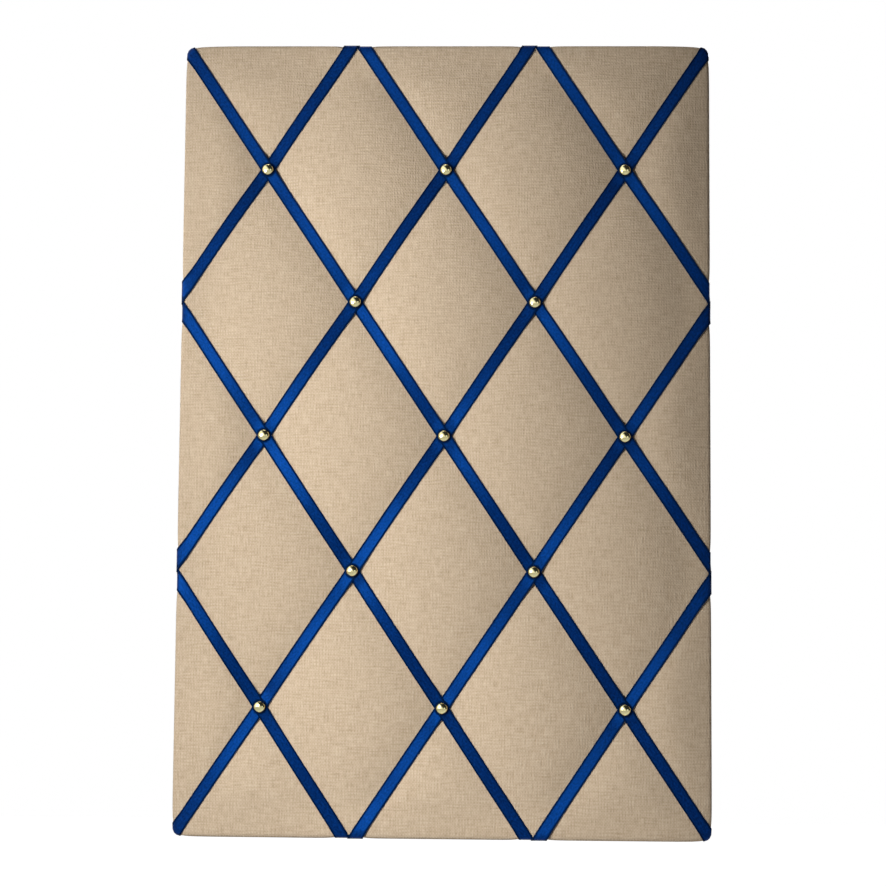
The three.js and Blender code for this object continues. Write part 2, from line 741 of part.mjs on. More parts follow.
// Pan-head screw with a cross recess
function screwGeometry() {
  const head = SCREW_HEAD_WIDTH / 2;
  const crown = SCREW_CROWN_WIDTH / 2;
  const shank = SCREW_SHANK / 2;
  const body = lathe([
    [0, -SCREW_LENGTH],
    [shank, SCREW_POINT - SCREW_LENGTH],
    [shank, 0],
    [head, 0],
    [head, SCREW_HEAD_EDGE],
    [(head + crown) / 2, (SCREW_HEAD_HEIGHT + SCREW_HEAD_EDGE) / 2 + SCREW_HEAD_EDGE / 4],
    [crown, SCREW_HEAD_HEIGHT],
    [0, SCREW_HEAD_HEIGHT],
  ], SCREW_FACETS);
  const slot = () => new THREE.BoxGeometry(DRIVE_SPAN, 2 * DRIVE_DEPTH, DRIVE_WIDTH);
  return cut(body, [slot(), slot().rotateY(Math.PI / 2)].map((g) => g.translate(0, SCREW_HEAD_HEIGHT, 0)));
}

function hanger({ name, x }) {
  const group = new THREE.Group();
  group.position.set(x, 0, HINGE_Z);
  const strap = piece(`hanger_strap_${name}`, strapGeometry(), MATERIALS.steel);
  const ring = piece(`hanger_ring_${name}`, ringGeometry(), MATERIALS.steel);
  ring.position.y = EYE_Y;
  const screw = piece(`hanger_screw_${name}`, screwGeometry(), MATERIALS.steel);
  screw.position.set(0, SCREW_SEAT_Y, -SCREW_DROP);
  group.add(strap, ring, screw);
  return group;
}

const SCREW_CUTTERS = HANGER_PLACES.map(({ x }) => screwCutter(x, HINGE_Z - SCREW_DROP));

// Flat boards

function panelGeometry() {
  const right = PANEL_WIDTH / 2;
  const top = PANEL_HEIGHT / 2;
  const radius = EDGE_ROLL - FIT - COVER_THICKNESS;
  const outline = new THREE.Shape();
  outline.absarc(right - radius, top - radius, radius, 0, Math.PI / 2, false);
  outline.absarc(radius - right, top - radius, radius, Math.PI / 2, Math.PI, false);
  outline.absarc(radius - right, radius - top, radius, Math.PI, Math.PI * 1.5, false);
  outline.absarc(right - radius, radius - top, radius, Math.PI * 1.5, Math.PI * 2, false);
  const options = { depth: PANEL_THICKNESS, bevelEnabled: false, curveSegments: CORNER_FACETS };
  const slab = new THREE.ExtrudeGeometry(outline, options).rotateX(Math.PI / 2).translate(0, PANEL_BACK_Y, 0);
  return cut(slab, [...NAIL_CUTTERS, ...stapleCutters(), ...SCREW_CUTTERS]);
}

// A sheet with clipped corners; its middle stretch is free of fastenings
function backingGeometry() {
  const half = OUTLINE_WIDTH / 2 - BACKING_INSET;
  const top = OUTLINE_HEIGHT / 2 - BACKING_INSET;
  const hangerFoot = HINGE_Z - STRAP_LENGTH - STRAP_WIDTH;
  const section = (z, reach) => [
    new THREE.Vector3(-reach, 0, z),
    new THREE.Vector3(reach, 0, z),
    new THREE.Vector3(reach, -BACKING_THICKNESS, z),
    new THREE.Vector3(-reach, -BACKING_THICKNESS, z),
  ];
  const sheet = loft([
    section(-top, half - BACKING_CHAMFER),
    section(BACKING_CHAMFER - top, half),
    section(hangerFoot, half),
    section(top - BACKING_CHAMFER, half),
    section(top, half - BACKING_CHAMFER),
  ]);
  return cut(sheet, SCREW_CUTTERS);
}

// Assembly

const board = new THREE.Group();
board.name = 'french_memo_board';
board.add(piece('panel', panelGeometry(), MATERIALS.softboard));
board.add(piece('wadding', cut(waddingGeometry(), NAIL_CUTTERS), MATERIALS.wadding));
board.add(piece('fabric_cover', cut(coverGeometry(), NAIL_CUTTERS), MATERIALS.linen));

for (const run of RIBBON_RUNS) {
  const pierced = cut(ribbonGeometry(run), NAIL_CUTTERS);
  board.add(piece(`ribbon_${ribbonName(run)}`, pierced, MATERIALS.satin));
}

for (const { name, x, z } of NAIL_PLACES) {
  const nail = piece(name, nailGeometry(), MATERIALS.brass);
  nail.position.set(x, NAIL_SEAT_Y, z);
  board.add(nail);
}

for (const place of STAPLE_PLACES) {
  board.add(placeStaple(piece(place.name, stapleGeometry(), MATERIALS.staple), place));
}

board.add(piece('backing_sheet', backingGeometry(), MATERIALS.backing));
for (const place of HANGER_PLACES) board.add(hanger(place));

export default board;
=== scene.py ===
"""French memo board: tufted linen over wadding, a woven lattice of blue satin ribbon and brass dome nails.

Lengths are millimetres until a mesh is made, which is in metres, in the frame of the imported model.
"""

import math
from functools import partial

import bmesh
import bpy
import numpy as np
from mathutils import Matrix, Vector


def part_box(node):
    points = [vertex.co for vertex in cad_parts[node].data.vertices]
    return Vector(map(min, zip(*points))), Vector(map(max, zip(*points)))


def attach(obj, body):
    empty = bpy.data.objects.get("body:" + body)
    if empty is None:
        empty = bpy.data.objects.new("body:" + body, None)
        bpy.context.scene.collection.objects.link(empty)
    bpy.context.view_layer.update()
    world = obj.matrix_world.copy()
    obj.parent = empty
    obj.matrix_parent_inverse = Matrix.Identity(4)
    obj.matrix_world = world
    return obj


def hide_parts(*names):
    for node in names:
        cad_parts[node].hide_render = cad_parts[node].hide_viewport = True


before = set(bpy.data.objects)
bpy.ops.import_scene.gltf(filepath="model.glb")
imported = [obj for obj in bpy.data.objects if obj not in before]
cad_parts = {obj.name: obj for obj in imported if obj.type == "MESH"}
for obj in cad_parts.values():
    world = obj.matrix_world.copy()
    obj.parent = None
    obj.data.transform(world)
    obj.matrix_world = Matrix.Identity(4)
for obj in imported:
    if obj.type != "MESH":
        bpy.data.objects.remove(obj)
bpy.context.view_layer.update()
scene = bpy.context.scene

MM = 0.001

# Places that the frame gives
panel_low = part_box("panel")[0] / MM
cover_low, cover_high = (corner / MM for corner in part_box("fabric_cover"))
nail_low, nail_high = (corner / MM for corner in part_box("dome_nail_2_2"))
backing_low, backing_high = (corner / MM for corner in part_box("backing_sheet"))

FRONT_Y = panel_low.y
HEM_Y = cover_high.y
HALF_WIDTH = cover_high.x
HALF_HEIGHT = cover_high.z
PITCH_ACROSS = nail_low.x + nail_high.x
PITCH_DOWN = nail_low.z + nail_high.z
PITCH_SLANT = math.hypot(PITCH_ACROSS, PITCH_DOWN)
LINE_SPACING = PITCH_ACROSS * PITCH_DOWN / PITCH_SLANT
SIDE_DEPTH = HEM_Y - FRONT_Y
DIAMONDS = 3

# Patterns of the materials
THREAD_SPACING = (2.25, 2.6)
THREAD_STRENGTH = (1.7, 1.1)
THREAD_WANDER = 9
WANDER_LENGTH = 25 / 3
CROSSING_STRENGTH = 1.9
PATCH_WIDTH = 5
PATCH_EDGE = {"From Min": 0.38, "From Max": 0.62}
SLUBS_PER_MM = ((0.9, 0.12, 1), (0.11, 0.8, 1))
WANDER_TONE = 0.6
THREAD_TONE = 0.14
TONE_RANGE = {"From Min": 0.1, "From Max": 2.5}
CLOUD_WIDTH = 25
CLOUD_TONE = 0.12
FIBRE_TONE = {"From Min": 0.33, "From Max": 0.79}
BRASS_MARK = 10 / 9
STEEL_RUB = 5 / 3

# Cloth and padding
CLOTH_THICKNESS = 0.7
CLOTH_CELL = 2.7
HEM_DEPTH = 20
BACK_FOLD = 1.5
EDGE_ROLL = 6
ROLL_POWER = 5
ROLL_DRAW = 0.5
CORNER_POWER = 2.2
CORE_X = HALF_WIDTH - EDGE_ROLL
CORE_Z = HALF_HEIGHT - EDGE_ROLL
EDGE_BULGE = 1
BULGE_REACH = 3
EDGE_HEIGHT = 9.5
EDGE_HOLD = 45
SIDE_FALL = 5
NAIL_PINCH = 3
RIBBON_SEAT = 4.2
SEAT_EASE = 3
PUFF_REACH = 25
BILLOW = 1.4
BILLOW_CELL = 5
BILLOW_HOLD = 6
BILLOW_PRESSURE = 150
BILLOW_FRAMES = 20
FULLEST = 1 - math.exp(-(LINE_SPACING / 2 - RIBBON_SEAT) / PUFF_REACH)
SWELL = (FRONT_Y - cover_low.y - NAIL_PINCH - BILLOW) / 2 / FULLEST
PADDING_GAP = 0.4
PADDING_SETBACK = 1
PADDING_CELL = 5
ROLL_STEPS = 8
FOLD_STEPS = 4
HEM_STEPS = 4
SIDE_SHARES = (0.33, 0.66)
SHARP_ANGLE = 40

# Dome nails
NAIL_HEAD_WIDTH = 9
NAIL_HEAD_HEIGHT = 3.6
NAIL_RIM = 0.6
NAIL_SHANK = 1.4
NAIL_TIP = 0.2
NAIL_SEAT_Y = nail_low.y + NAIL_HEAD_HEIGHT
# Where the brass's painted rim shade fades out, going up the head
RIM_SHADE = {"From Min": 0.2, "From Max": 0.6}

# Ribbons
RIBBON_WIDTH = 9.5
RIBBON_THICKNESS = 0.45
RIBBON_TAIL = 34
RIBBON_STEP = 3
RIBBON_SIDES = np.array([-1, -0.95, -0.86, -0.45, 0, 0.45, 0.86, 0.95, 1])
SELVEDGE_SHARE = 0.9
SELVEDGE_RISE = 0.07
# Insets of the dark selvedge band, which is partly painted shade along the ribbon's edges
SELVEDGE_AND_EDGE_SHADE = (1.6, 1)
# Reach of the painted shade round every nail's rim
CREASE_SHADE_REACH = (5.3, 6.2)
FLECKS_PER_MM = (0.5, 0.75, 1)
FLECK_TONE = (0.3, 0.72)
LANE_SHIFT = 40
LOWER_LIFT = 0.3
UPPER_LIFT = 1.05
EXIT_LIFT = 0.85
CROSSING_REACH = 8.6
CROSSING_HEIGHT = FRONT_Y - NAIL_SEAT_Y - UPPER_LIFT - RIBBON_THICKNESS - LOWER_LIFT
CROSSING_MARGIN = 1.5
LIFT_RAMP = 8
EDGE_RAMP = 20
LEVEL_STEPS = 4
SIDE_STEPS = 3
HALVINGS = 40
SIDE_OVERRUN = PITCH_ACROSS * DIAMONDS / 2 - HALF_WIDTH
END_OVERRUN = PITCH_DOWN * DIAMONDS / 2 - HALF_HEIGHT

# Hanging rings and backing pins
RING_CORNER = 3.2
RING_STEPS = 12
PIN_HEAD_WIDTH = 3
PIN_HEAD_HEIGHT = 0.35
PIN_INSET = 9
PINS_ACROSS = 5
PINS_DOWN = 7
BORDER_SHARE = 0.499

# Camera: a little below the middle of the board, a metre and a half in front of it
IMAGE_PIXELS = 886
FOCAL_PIXELS = 2000
SENSOR_WIDTH = 36
CAMERA_PLACE = (43.1, -1531.5, -135.3)
CAMERA_PITCH = 4.918
CAMERA_YAW = 1.658
CAMERA_ROLL = 0.448

# Stage: the key and side lamps light the lower and the upper part of the face from the left
FLOOR_Z = -900
FLOOR_HALF = 6000
FLOOR_GLEAM = 0.45
FILL_LIGHT = 0.03
ROOM_LIGHT = 0.03
WINDOW_WAY = (-0.80, 0, -0.60)
WINDOW_EDGE = {"From Min": -0.33, "From Max": -0.03}
WINDOW_LIGHT = 1.3
DOOR_WAY = (0.62, -0.78, -0.05)
DOOR_EDGE = {"From Min": 0.965, "From Max": 0.985}
LAMPS = {
    "key_lamp": {"place": (-405, -629, 23), "size": 300, "power": 1.31, "aim": (67, 0, -328), "spread": 75},
    "side_lamp": {"place": (-507, -529, 14), "size": 350, "power": 0.59, "aim": (-27, 0, 253), "spread": 47},
    "top_lamp": {"place": (-150, 60, 1150), "size": 500, "power": 2.5},
    "back_lamp": {"place": (1200, 1300, 900), "size": 800, "power": 30},
}

# Kinds of node that come up often
MATH = "ShaderNodeMath"
VECTOR_MATH = "ShaderNodeVectorMath"
MAP_RANGE = "ShaderNodeMapRange"
MIX = "ShaderNodeMix"
NOISE = "ShaderNodeTexNoise"
SEPARATE = "ShaderNodeSeparateXYZ"
COMBINE = "ShaderNodeCombineXYZ"
ATTRIBUTE = "ShaderNodeAttribute"


# Node helpers

def linear(hex_colour):
    """sRGB hex to linear RGBA."""
    channels = [int(hex_colour[i:i + 2], 16) / 255 for i in (1, 3, 5)]
    return [c / 12.92 if c <= 0.04045 else ((c + 0.055) / 1.055) ** 2.4 for c in channels] + [1]


def feed(node, inputs):
    """Sets each input to its value, or links it to a socket or to the first output of a node."""
    for name, value in inputs.items():
        if isinstance(value, bpy.types.Node):
            value = value.outputs[0]
        if isinstance(value, bpy.types.NodeSocket):
            node.id_data.links.new(value, node.inputs[name])
        else:
            node.inputs[name].default_value = value


def add_node(tree, kind, inputs=None, **settings):
    """One node with its settings, its constant inputs and its links."""
    node = tree.nodes.new(kind)
    for name, value in settings.items():
        setattr(node, name, value)
    feed(node, inputs or {})
    return node


def new_material(name):
    """An empty material, what adds its nodes, and its shader."""
    material = bpy.data.materials.new(name)
    material.use_nodes = True
    tree = material.node_tree
    return material, partial(add_node, tree), tree.nodes["Principled BSDF"]


# Materials

def natural_linen():
    """Plain-woven linen cloth: uneven flax threads in both directions, dry and matt with a soft fuzz."""
    material, add, shader = new_material("natural_linen")
    place = add(ATTRIBUTE, attribute_name="cloth_mm").outputs["Vector"]
    # Thread spacing of 0.6 mm is too fine for the picture, so threads are drawn more than 2 mm apart
    wander = add(NOISE, {"Vector": place, "Scale": 1 / WANDER_LENGTH, "Detail": 2})
    # Thicker threads show in patches, here those of the warp and there those of the weft
    worn = add(NOISE, {"Vector": place, "Scale": 1 / PATCH_WIDTH, "Detail": 1})
    ways, drifts, patches = (
        add(SEPARATE, {0: source}).outputs
        for source in (place, wander.outputs["Color"], worn.outputs["Color"])
    )
    waves, lines, slubs = [], [], []
    for axis, spacing, strength, stretch in zip("XY", THREAD_SPACING, THREAD_STRENGTH, SLUBS_PER_MM):
        drift = add(MATH, {0: drifts[axis], 1: THREAD_WANDER}, operation="MULTIPLY")
        turn = add(MATH, {0: ways[axis], 1: 2 * math.pi / spacing, 2: drift}, operation="MULTIPLY_ADD")
        wave = add(MATH, {0: turn}, operation="SINE")
        thick = add(MAP_RANGE, {"Value": patches[axis], **PATCH_EDGE, "To Max": strength})
        drawn = add(VECTOR_MATH, {0: place, 1: stretch}, operation="MULTIPLY")
        waves.append(wave)
        lines.append(add(MATH, {0: wave, 1: thick}, operation="MULTIPLY"))
        slubs.append(add(NOISE, {"Vector": drawn, "Scale": 1, "Detail": 0}))
    laid = add(MATH, {0: lines[0], 1: lines[1]}, operation="ADD")
    crossed = add(MATH, {0: waves[0], 1: waves[1]}, operation="MULTIPLY")
    seen = add(MATH, {0: crossed, 1: CROSSING_STRENGTH, 2: laid}, operation="MULTIPLY_ADD")
    streaks = add(MATH, {0: slubs[0], 1: slubs[1]}, operation="ADD")
    uneven = add(MATH, {0: wander, 1: WANDER_TONE, 2: streaks}, operation="MULTIPLY_ADD")
    threads = add(MATH, {0: seen, 1: THREAD_TONE, 2: uneven}, operation="MULTIPLY_ADD")
    tone = add(MAP_RANGE, {"Value": threads, **TONE_RANGE})
    ramp = add("ShaderNodeValToRGB", {"Fac": tone})
    ramp.color_ramp.elements.new(0.5)
    for stop, colour in zip(ramp.color_ramp.elements, ("#ab9274", "#ccb69b", "#e2d1b8")):
        stop.color = linear(colour)
    bump = add("ShaderNodeBump", {"Height": threads, "Strength": 0.5, "Distance": 0.35 * MM})
    feed(shader, {
        "Base Color": ramp, "Normal": bump, "Roughness": 0.92, "Specular IOR Level": 0.2,
        "Sheen Weight": 0.08, "Sheen Roughness": 0.6,
    })
    return material


def blue_satin():
    """Satin-woven polyester ribbon: lengthwise floats that gleam across the light, a dark selvedge that is
    partly painted shade along its edges, and painted shade round the nails.
    """
    material, add, shader = new_material("blue_satin")
    place = add(ATTRIBUTE, attribute_name="ribbon_mm").outputs["Vector"]
    # Floats of 0.1 mm are drawn as flecks about 1.5 mm wide
    drawn = add(VECTOR_MATH, {0: place, 1: FLECKS_PER_MM}, operation="MULTIPLY")
    floats = add(NOISE, {"Vector": drawn, "Scale": 1, "Detail": 1, "Roughness": 0.5})
    ramp = add("ShaderNodeValToRGB", {"Fac": floats})
    for stop, position, colour in zip(ramp.color_ramp.elements, FLECK_TONE, ("#010f2c", "#062c6c")):
        stop.position = position
        stop.color = linear(colour)
    # The dark band at both edges is partly the woven selvedge and partly painted shade along the ribbon's
    # edges
    side = add(SEPARATE, {0: place}).outputs["Y"]
    off_middle = add(MATH, {0: side}, operation="ABSOLUTE")
    starts, ends = (RIBBON_WIDTH / 2 - inset for inset in SELVEDGE_AND_EDGE_SHADE)
    selvedge = add(MAP_RANGE, {"Value": off_middle, "From Min": starts, "From Max": ends})
    # Painted shade: the ribbons darken in a ring round every nail's rim, where the nail presses them in, at
    # any depth
    solid = add("ShaderNodeTexCoord").outputs["Object"]
    cell = Vector((PITCH_ACROSS, 1, PITCH_DOWN)) * MM
    from_nails = []
    for shift in (Vector(), cell / 2):
        moved = add(VECTOR_MATH, {0: solid, 1: shift}, operation="ADD")
        wrapped = add(VECTOR_MATH, {0: moved, 1: cell / 2, 2: -cell / 2}, operation="WRAP")
        flat = add(VECTOR_MATH, {0: wrapped, 1: (1, 0, 1)}, operation="MULTIPLY")
        from_nails.append(add(VECTOR_MATH, {0: flat}, operation="LENGTH").outputs["Value"])
    near = add(MATH, {0: from_nails[0], 1: from_nails[1]}, operation="MINIMUM")
    starts, ends = (reach * MM for reach in CREASE_SHADE_REACH)
    painted_crease_shade = add(MAP_RANGE, {"Value": near, "From Min": starts, "From Max": ends, "To Min": 1, "To Max": 0})
    selvedge_and_crease_shade = add(MATH, {0: selvedge, 1: painted_crease_shade}, operation="MAXIMUM")
    # The near-black tone is the dark selvedge, and painted shade along the ribbon's edges and round the nails
    dyed_and_shaded = add(MIX, {"Factor": selvedge_and_crease_shade, "A": ramp, "B": linear("#000613")}, data_type="RGBA")
    gloss = add(MAP_RANGE, {"Value": selvedge_and_crease_shade, "To Min": 0.48, "To Max": 1})
    bump = add("ShaderNodeBump", {"Height": floats, "Strength": 0.3, "Distance": 0.12 * MM})
    across = add(ATTRIBUTE, attribute_name="ribbon_across").outputs["Vector"]
    feed(shader, {
        "Base Color": dyed_and_shaded.outputs["Result"], "Roughness": gloss, "Normal": bump, "Tangent": across,
        "Anisotropic": 0.8, "IOR": 1.6, "Specular IOR Level": 0.85, "Specular Tint": linear("#1474ee"),
    })
    return material


def bright_metal(name, dull, bright, mark_mm, marks, gloss):
    """A polished metal: a mirror with faint marks of handling in its tone and its gloss."""
    material, add, shader = new_material(name)
    place = add("ShaderNodeTexCoord").outputs["Object"]
    marks = add(NOISE, {"Vector": place, "Scale": 1 / (mark_mm * MM), **marks})
    rough = add(MAP_RANGE, {"Value": marks, "To Min": gloss[0], "To Max": gloss[1]})
    tones = {"Factor": marks, "A": linear(dull), "B": linear(bright)}
    tone = add(MIX, tones, data_type="RGBA").outputs["Result"]
    feed(shader, {"Base Color": tone, "Roughness": rough, "Metallic": 1})
    return material, add, shader, tone


def polished_brass():
    """Stamped and polished brass: a pale yellow mirror with handling marks, with painted shade and a painted
    dark reflection round its rim.
    """
    marks = {"Detail": 3, "Roughness": 0.6}
    brass = bright_metal("polished_brass", "#d8cc8a", "#f4efc4", BRASS_MARK, marks, gloss=(0.06, 0.18))
    material, add, shader, tone = brass
    # Painted shade: the brass turns dark brown towards the rim, standing in for the shadow and the dark
    # reflection round each nail
    crown = add(ATTRIBUTE, attribute_name="crown_share").outputs["Fac"]
    rim = add(MAP_RANGE, {"Value": crown, **RIM_SHADE, "To Min": 1, "To Max": 0})
    rim_shaded_tone = add(MIX, {"Factor": rim, "A": tone, "B": linear("#4a3a17")}, data_type="RGBA")
    feed(shader, {"Base Color": rim_shaded_tone.outputs["Result"]})
    return material


def nickel_plated_steel():
    """Pressed steel with bright nickel plate: a soft grey mirror with fine rub marks."""
    rubs = {"Detail": 4, "Roughness": 0.65}
    return bright_metal("nickel_plated_steel", "#a9acb0", "#d3d5d8", STEEL_RUB, rubs, gloss=(0.2, 0.42))[0]


def fibre_board(name, dark, light, fibre_mm, roughness, relief_mm):
    """Pressed wood fibre: short matted fibres in two tones, matt, with the relief of its pressing."""
    material, add, shader = new_material(name)
    place = add("ShaderNodeTexCoord").outputs["Object"]
    fibres = add(NOISE, {"Vector": place, "Scale": 1 / (fibre_mm * MM), "Detail": 5, "Roughness": 0.7})
    clouds = add(NOISE, {"Vector": place, "Scale": 1 / (CLOUD_WIDTH * fibre_mm * MM), "Detail": 2})
    mixed = add(MATH, {0: clouds, 1: CLOUD_TONE, 2: fibres}, operation="MULTIPLY_ADD")
    share = add(MAP_RANGE, {"Value": mixed, **FIBRE_TONE})
    tones = {"Factor": share, "A": linear(dark), "B": linear(light)}
    tone = add(MIX, tones, data_type="RGBA").outputs["Result"]
    bump = add("ShaderNodeBump", {"Height": fibres, "Strength": 0.5, "Distance": relief_mm * MM})
    feed(shader, {"Base Color": tone, "Normal": bump, "Roughness": roughness, "Specular IOR Level": 0.3})
    return material


LINEN = natural_linen()
SATIN = blue_satin()
BRASS = polished_brass()
STEEL = nickel_plated_steel()
HARDBOARD = fibre_board("pressed_hardboard", "#614228", "#a37e56", 2.4, 0.6, 0.08)
SOFTBOARD = fibre_board("wood_fibre_softboard", "#8d6d45", "#bd9a6c", 2, 0.95, 0.3)
WADDING = fibre_board("polyester_wadding", "#e3dfd5", "#faf8f2", 1.5, 1, 0.4)


# Mesh helpers

def new_object(name, data):
    obj = bpy.data.objects.new(name, data)
    scene.collection.objects.link(obj)
    return obj


def mesh_object(name, points, faces, material):
    """A mesh object from places in millimetres, shaded smooth with its sharp edges kept."""
    mesh = bpy.data.meshes.new(name)
    mesh.from_pydata((np.asarray(points, float) * MM).tolist(), [], [list(map(int, f)) for f in faces])
    mesh.materials.append(material)
    shade(mesh)
    return new_object(name, mesh)


def shade(mesh):
    mesh.shade_smooth()
    mesh.set_sharp_from_angle(angle=math.radians(SHARP_ANGLE))


def point_attribute(obj, name, values):
    """A number or a vector for every point, which a material or a node tree reads."""
    kind, field = ("FLOAT", "value") if values.ndim == 1 else ("FLOAT_VECTOR", "vector")
    attribute = obj.data.attributes.new(name, kind, "POINT")
    attribute.data.foreach_set(field, values.astype(np.float32).ravel())


def face_outward(obj):
    shell = bmesh.new()
    shell.from_mesh(obj.data)
    bmesh.ops.recalc_face_normals(shell, faces=shell.faces)
    shell.to_mesh(obj.data)
    shell.free()


def settle(obj):
    """Keeps the evaluated object as a plain mesh, with its modifiers gone."""
    bpy.context.view_layer.update()
    graph = bpy.context.evaluated_depsgraph_get()
    made = bpy.data.meshes.new_from_object(obj.evaluated_get(graph), depsgraph=graph)
    made.name = obj.name
    obj.modifiers.clear()
    obj.data = made
    shade(made)


def grid_faces(rows, columns):
    start = (np.arange(rows - 1)[:, None] * columns + np.arange(columns - 1)).ravel()
    return np.stack([start, start + 1, start + columns + 1, start + columns], -1)


def border_loop(rows, columns):
    """Places in the grid that go once round its border, seen from the front."""
    places = np.arange(rows * columns).reshape(rows, columns)
    return np.concatenate([places[0, :-1], places[:-1, -1], places[-1, :0:-1], places[:0:-1, 0]])


def bridge(near, far):
    return np.stack([near, far, np.roll(far, -1), np.roll(near, -1)], -1)


def at_depth(plan, y):
    """Places in space, from places in the plan of the board and their depth."""
    return np.stack([plan[..., 0], np.broadcast_to(y, plan.shape[:-1]), plan[..., 1]], -1)


# Geometry node trees

def new_tree(name, lengths, counts=(), on_mesh=False):
    """Starts a tree: what adds its nodes, and a named input for each of its sizes."""
    tree = bpy.data.node_groups.new(name, "GeometryNodeTree")
    sockets = [("Geometry", "Geometry")] if on_mesh else []
    sockets += [(size, "Float") for size in lengths]
    sockets += [(size, "Int") for size in counts]
    for socket, kind in sockets + [("Material", "Material")]:
        tree.interface.new_socket(socket, in_out="INPUT", socket_type=f"NodeSocket{kind}")
    tree.interface.new_socket("Geometry", in_out="OUTPUT", socket_type="NodeSocketGeometry")
    add = partial(add_node, tree)
    return add, add("NodeGroupInput").outputs


def end_tree(add, size, shape):
    """Ends a tree with its shape as real faces in their material."""
    whole = add("GeometryNodeRealizeInstances", {0: shape})
    finished = add("GeometryNodeSetMaterial", {"Geometry": whole, "Material": size["Material"]})
    return add("NodeGroupOutput", {0: finished}).id_data


def end_on_lattice(add, size, spread, counts, dropped, piece, scale=(1, 1, 1)):
    """Ends a tree with copies of a piece on a lattice along the board, apart from its dropped places."""
    sockets = ("Size X", "Size Y", "Vertices X", "Vertices Y")
    lattice = add("GeometryNodeMeshGrid", dict(zip(sockets, spread + counts)))
    places = add("GeometryNodeDeleteGeometry", {"Geometry": lattice, "Selection": dropped})
    copies = add("GeometryNodeInstanceOnPoints", {"Points": places, "Instance": piece, "Scale": scale})
    seat = add(COMBINE, {"Y": size["Seat"]})
    turned = {"Geometry": copies, "Translation": seat, "Rotation": (math.pi / 2, 0, 0)}
    return end_tree(add, size, add("GeometryNodeTransform", turned))


def with_nodes(obj, tree, material, lengths, counts=None):
    """Runs a tree on an object with lengths in millimetres, and keeps the result as its mesh."""
    modifier = obj.modifiers.new(tree.name, "NODES")
    modifier.node_group = tree
    inputs = {name: length * MM for name, length in lengths.items()}
    inputs.update(counts or {}, Material=material)
    for item in tree.interface.items_tree:
        if item.item_type == "SOCKET" and item.in_out == "INPUT" and item.name in inputs:
            modifier[item.identifier] = inputs[item.name]
    settle(obj)


# The padded face

def smooth(low, high, value):
    share = np.clip((value - low) / (high - low), 0, 1)
    return share * share * (3 - 2 * share)


def swell(plan):
    """Height of the cloth above the panel: pressed flat under every ribbon, lowest at the nails."""
    puffed = NAIL_PINCH + SWELL * sum(arches(plan, PUFF_REACH))
    return EDGE_HEIGHT + (puffed - EDGE_HEIGHT) * release(plan) - side_fall(plan)


def side_fall(plan):
    """How far the padding rounds down towards the two long sides."""
    return SIDE_FALL * np.clip(1 - (HALF_WIDTH - np.abs(plan[..., 0])) / EDGE_HOLD, 0, 1) ** 2


def release(plan):
    """0 at the outline, where the taut cloth holds the padding to an even height, and 1 well inside it."""
    inside = np.array([HALF_WIDTH, HALF_HEIGHT]) - np.abs(plan)
    return smooth(0, EDGE_HOLD, inside).prod(-1)


def arches(plan, reach):
    """How full the padding is beside the nearest falling and rising ribbons, 0 under them."""
    down, across = plan[..., 1] / PITCH_DOWN, plan[..., 0] / PITCH_ACROSS
    full = []
    for turn in (down + across, down - across):
        away = np.abs(turn - np.round(turn)) * LINE_SPACING - RIBBON_SEAT
        ease = np.maximum(1 - np.abs(away) / SEAT_EASE, 0)
        clear = np.maximum(away, 0) + ease ** 3 * SEAT_EASE / 6
        full.append(1 - np.exp(-clear / reach))
    return full


def edge_bulge(plan):
    """How far the padded edge stands out between the ribbons that hold it in."""
    fall, rise = arches(plan, BULGE_REACH)
    return EDGE_BULGE * fall * rise


def roll_of(plan):
    """The core under a plan place, and how far round the rolled edge the place is, 1 at the outline."""
    core = np.clip(plan, [-CORE_X, -CORE_Z], [CORE_X, CORE_Z])
    return core, (plan - core) / EDGE_ROLL


def corner_norm(roll):
    """Distance out through the rolled edge, with corners squarer than round."""
    return (np.abs(roll) ** CORNER_POWER).sum(-1) ** (1 / CORNER_POWER)


def slope_of(roll):
    return np.clip(1 - corner_norm(roll) ** ROLL_POWER, 0, 1) ** (1 / ROLL_POWER)


def roll_shares(steps):
    """Even steps round the rolled edge, as shares of the way out to the outline."""
    return np.sin(np.linspace(0, math.pi / 2, steps + 1)[1:]) ** (2 / ROLL_POWER)


def grid_lines(core, cell):
    """Even lines over the core, then closer ones round the rolled edge."""
    inner = np.linspace(-core, core, 2 * round(core / cell) + 1)
    edge = core + EDGE_ROLL * roll_shares(ROLL_STEPS)
    return np.concatenate([-edge[::-1], inner, edge])


def face_grid(cell):
    """Plan places of the face, with the corners of its border drawn in round, and its rows and columns."""
    x, z = np.meshgrid(grid_lines(CORE_X, cell), grid_lines(CORE_Z, cell))
    core, roll = roll_of(np.stack([x, z], -1))
    reach = np.abs(roll).max(-1)
    drawn = roll * (reach / np.where(reach > 0, corner_norm(roll), 1))[..., None]
    plan = core + EDGE_ROLL * drawn
    return plan.reshape(-1, 2), *x.shape


TUFTING = {
    "Pitch Across": PITCH_ACROSS, "Pitch Down": PITCH_DOWN, "Line Spacing": LINE_SPACING,
    "Ribbon Seat": RIBBON_SEAT, "Seat Ease": SEAT_EASE, "Puff Reach": PUFF_REACH,
    "Nail Pinch": NAIL_PINCH, "Swell": SWELL, "Edge Height": EDGE_HEIGHT, "Lift": 0,
}


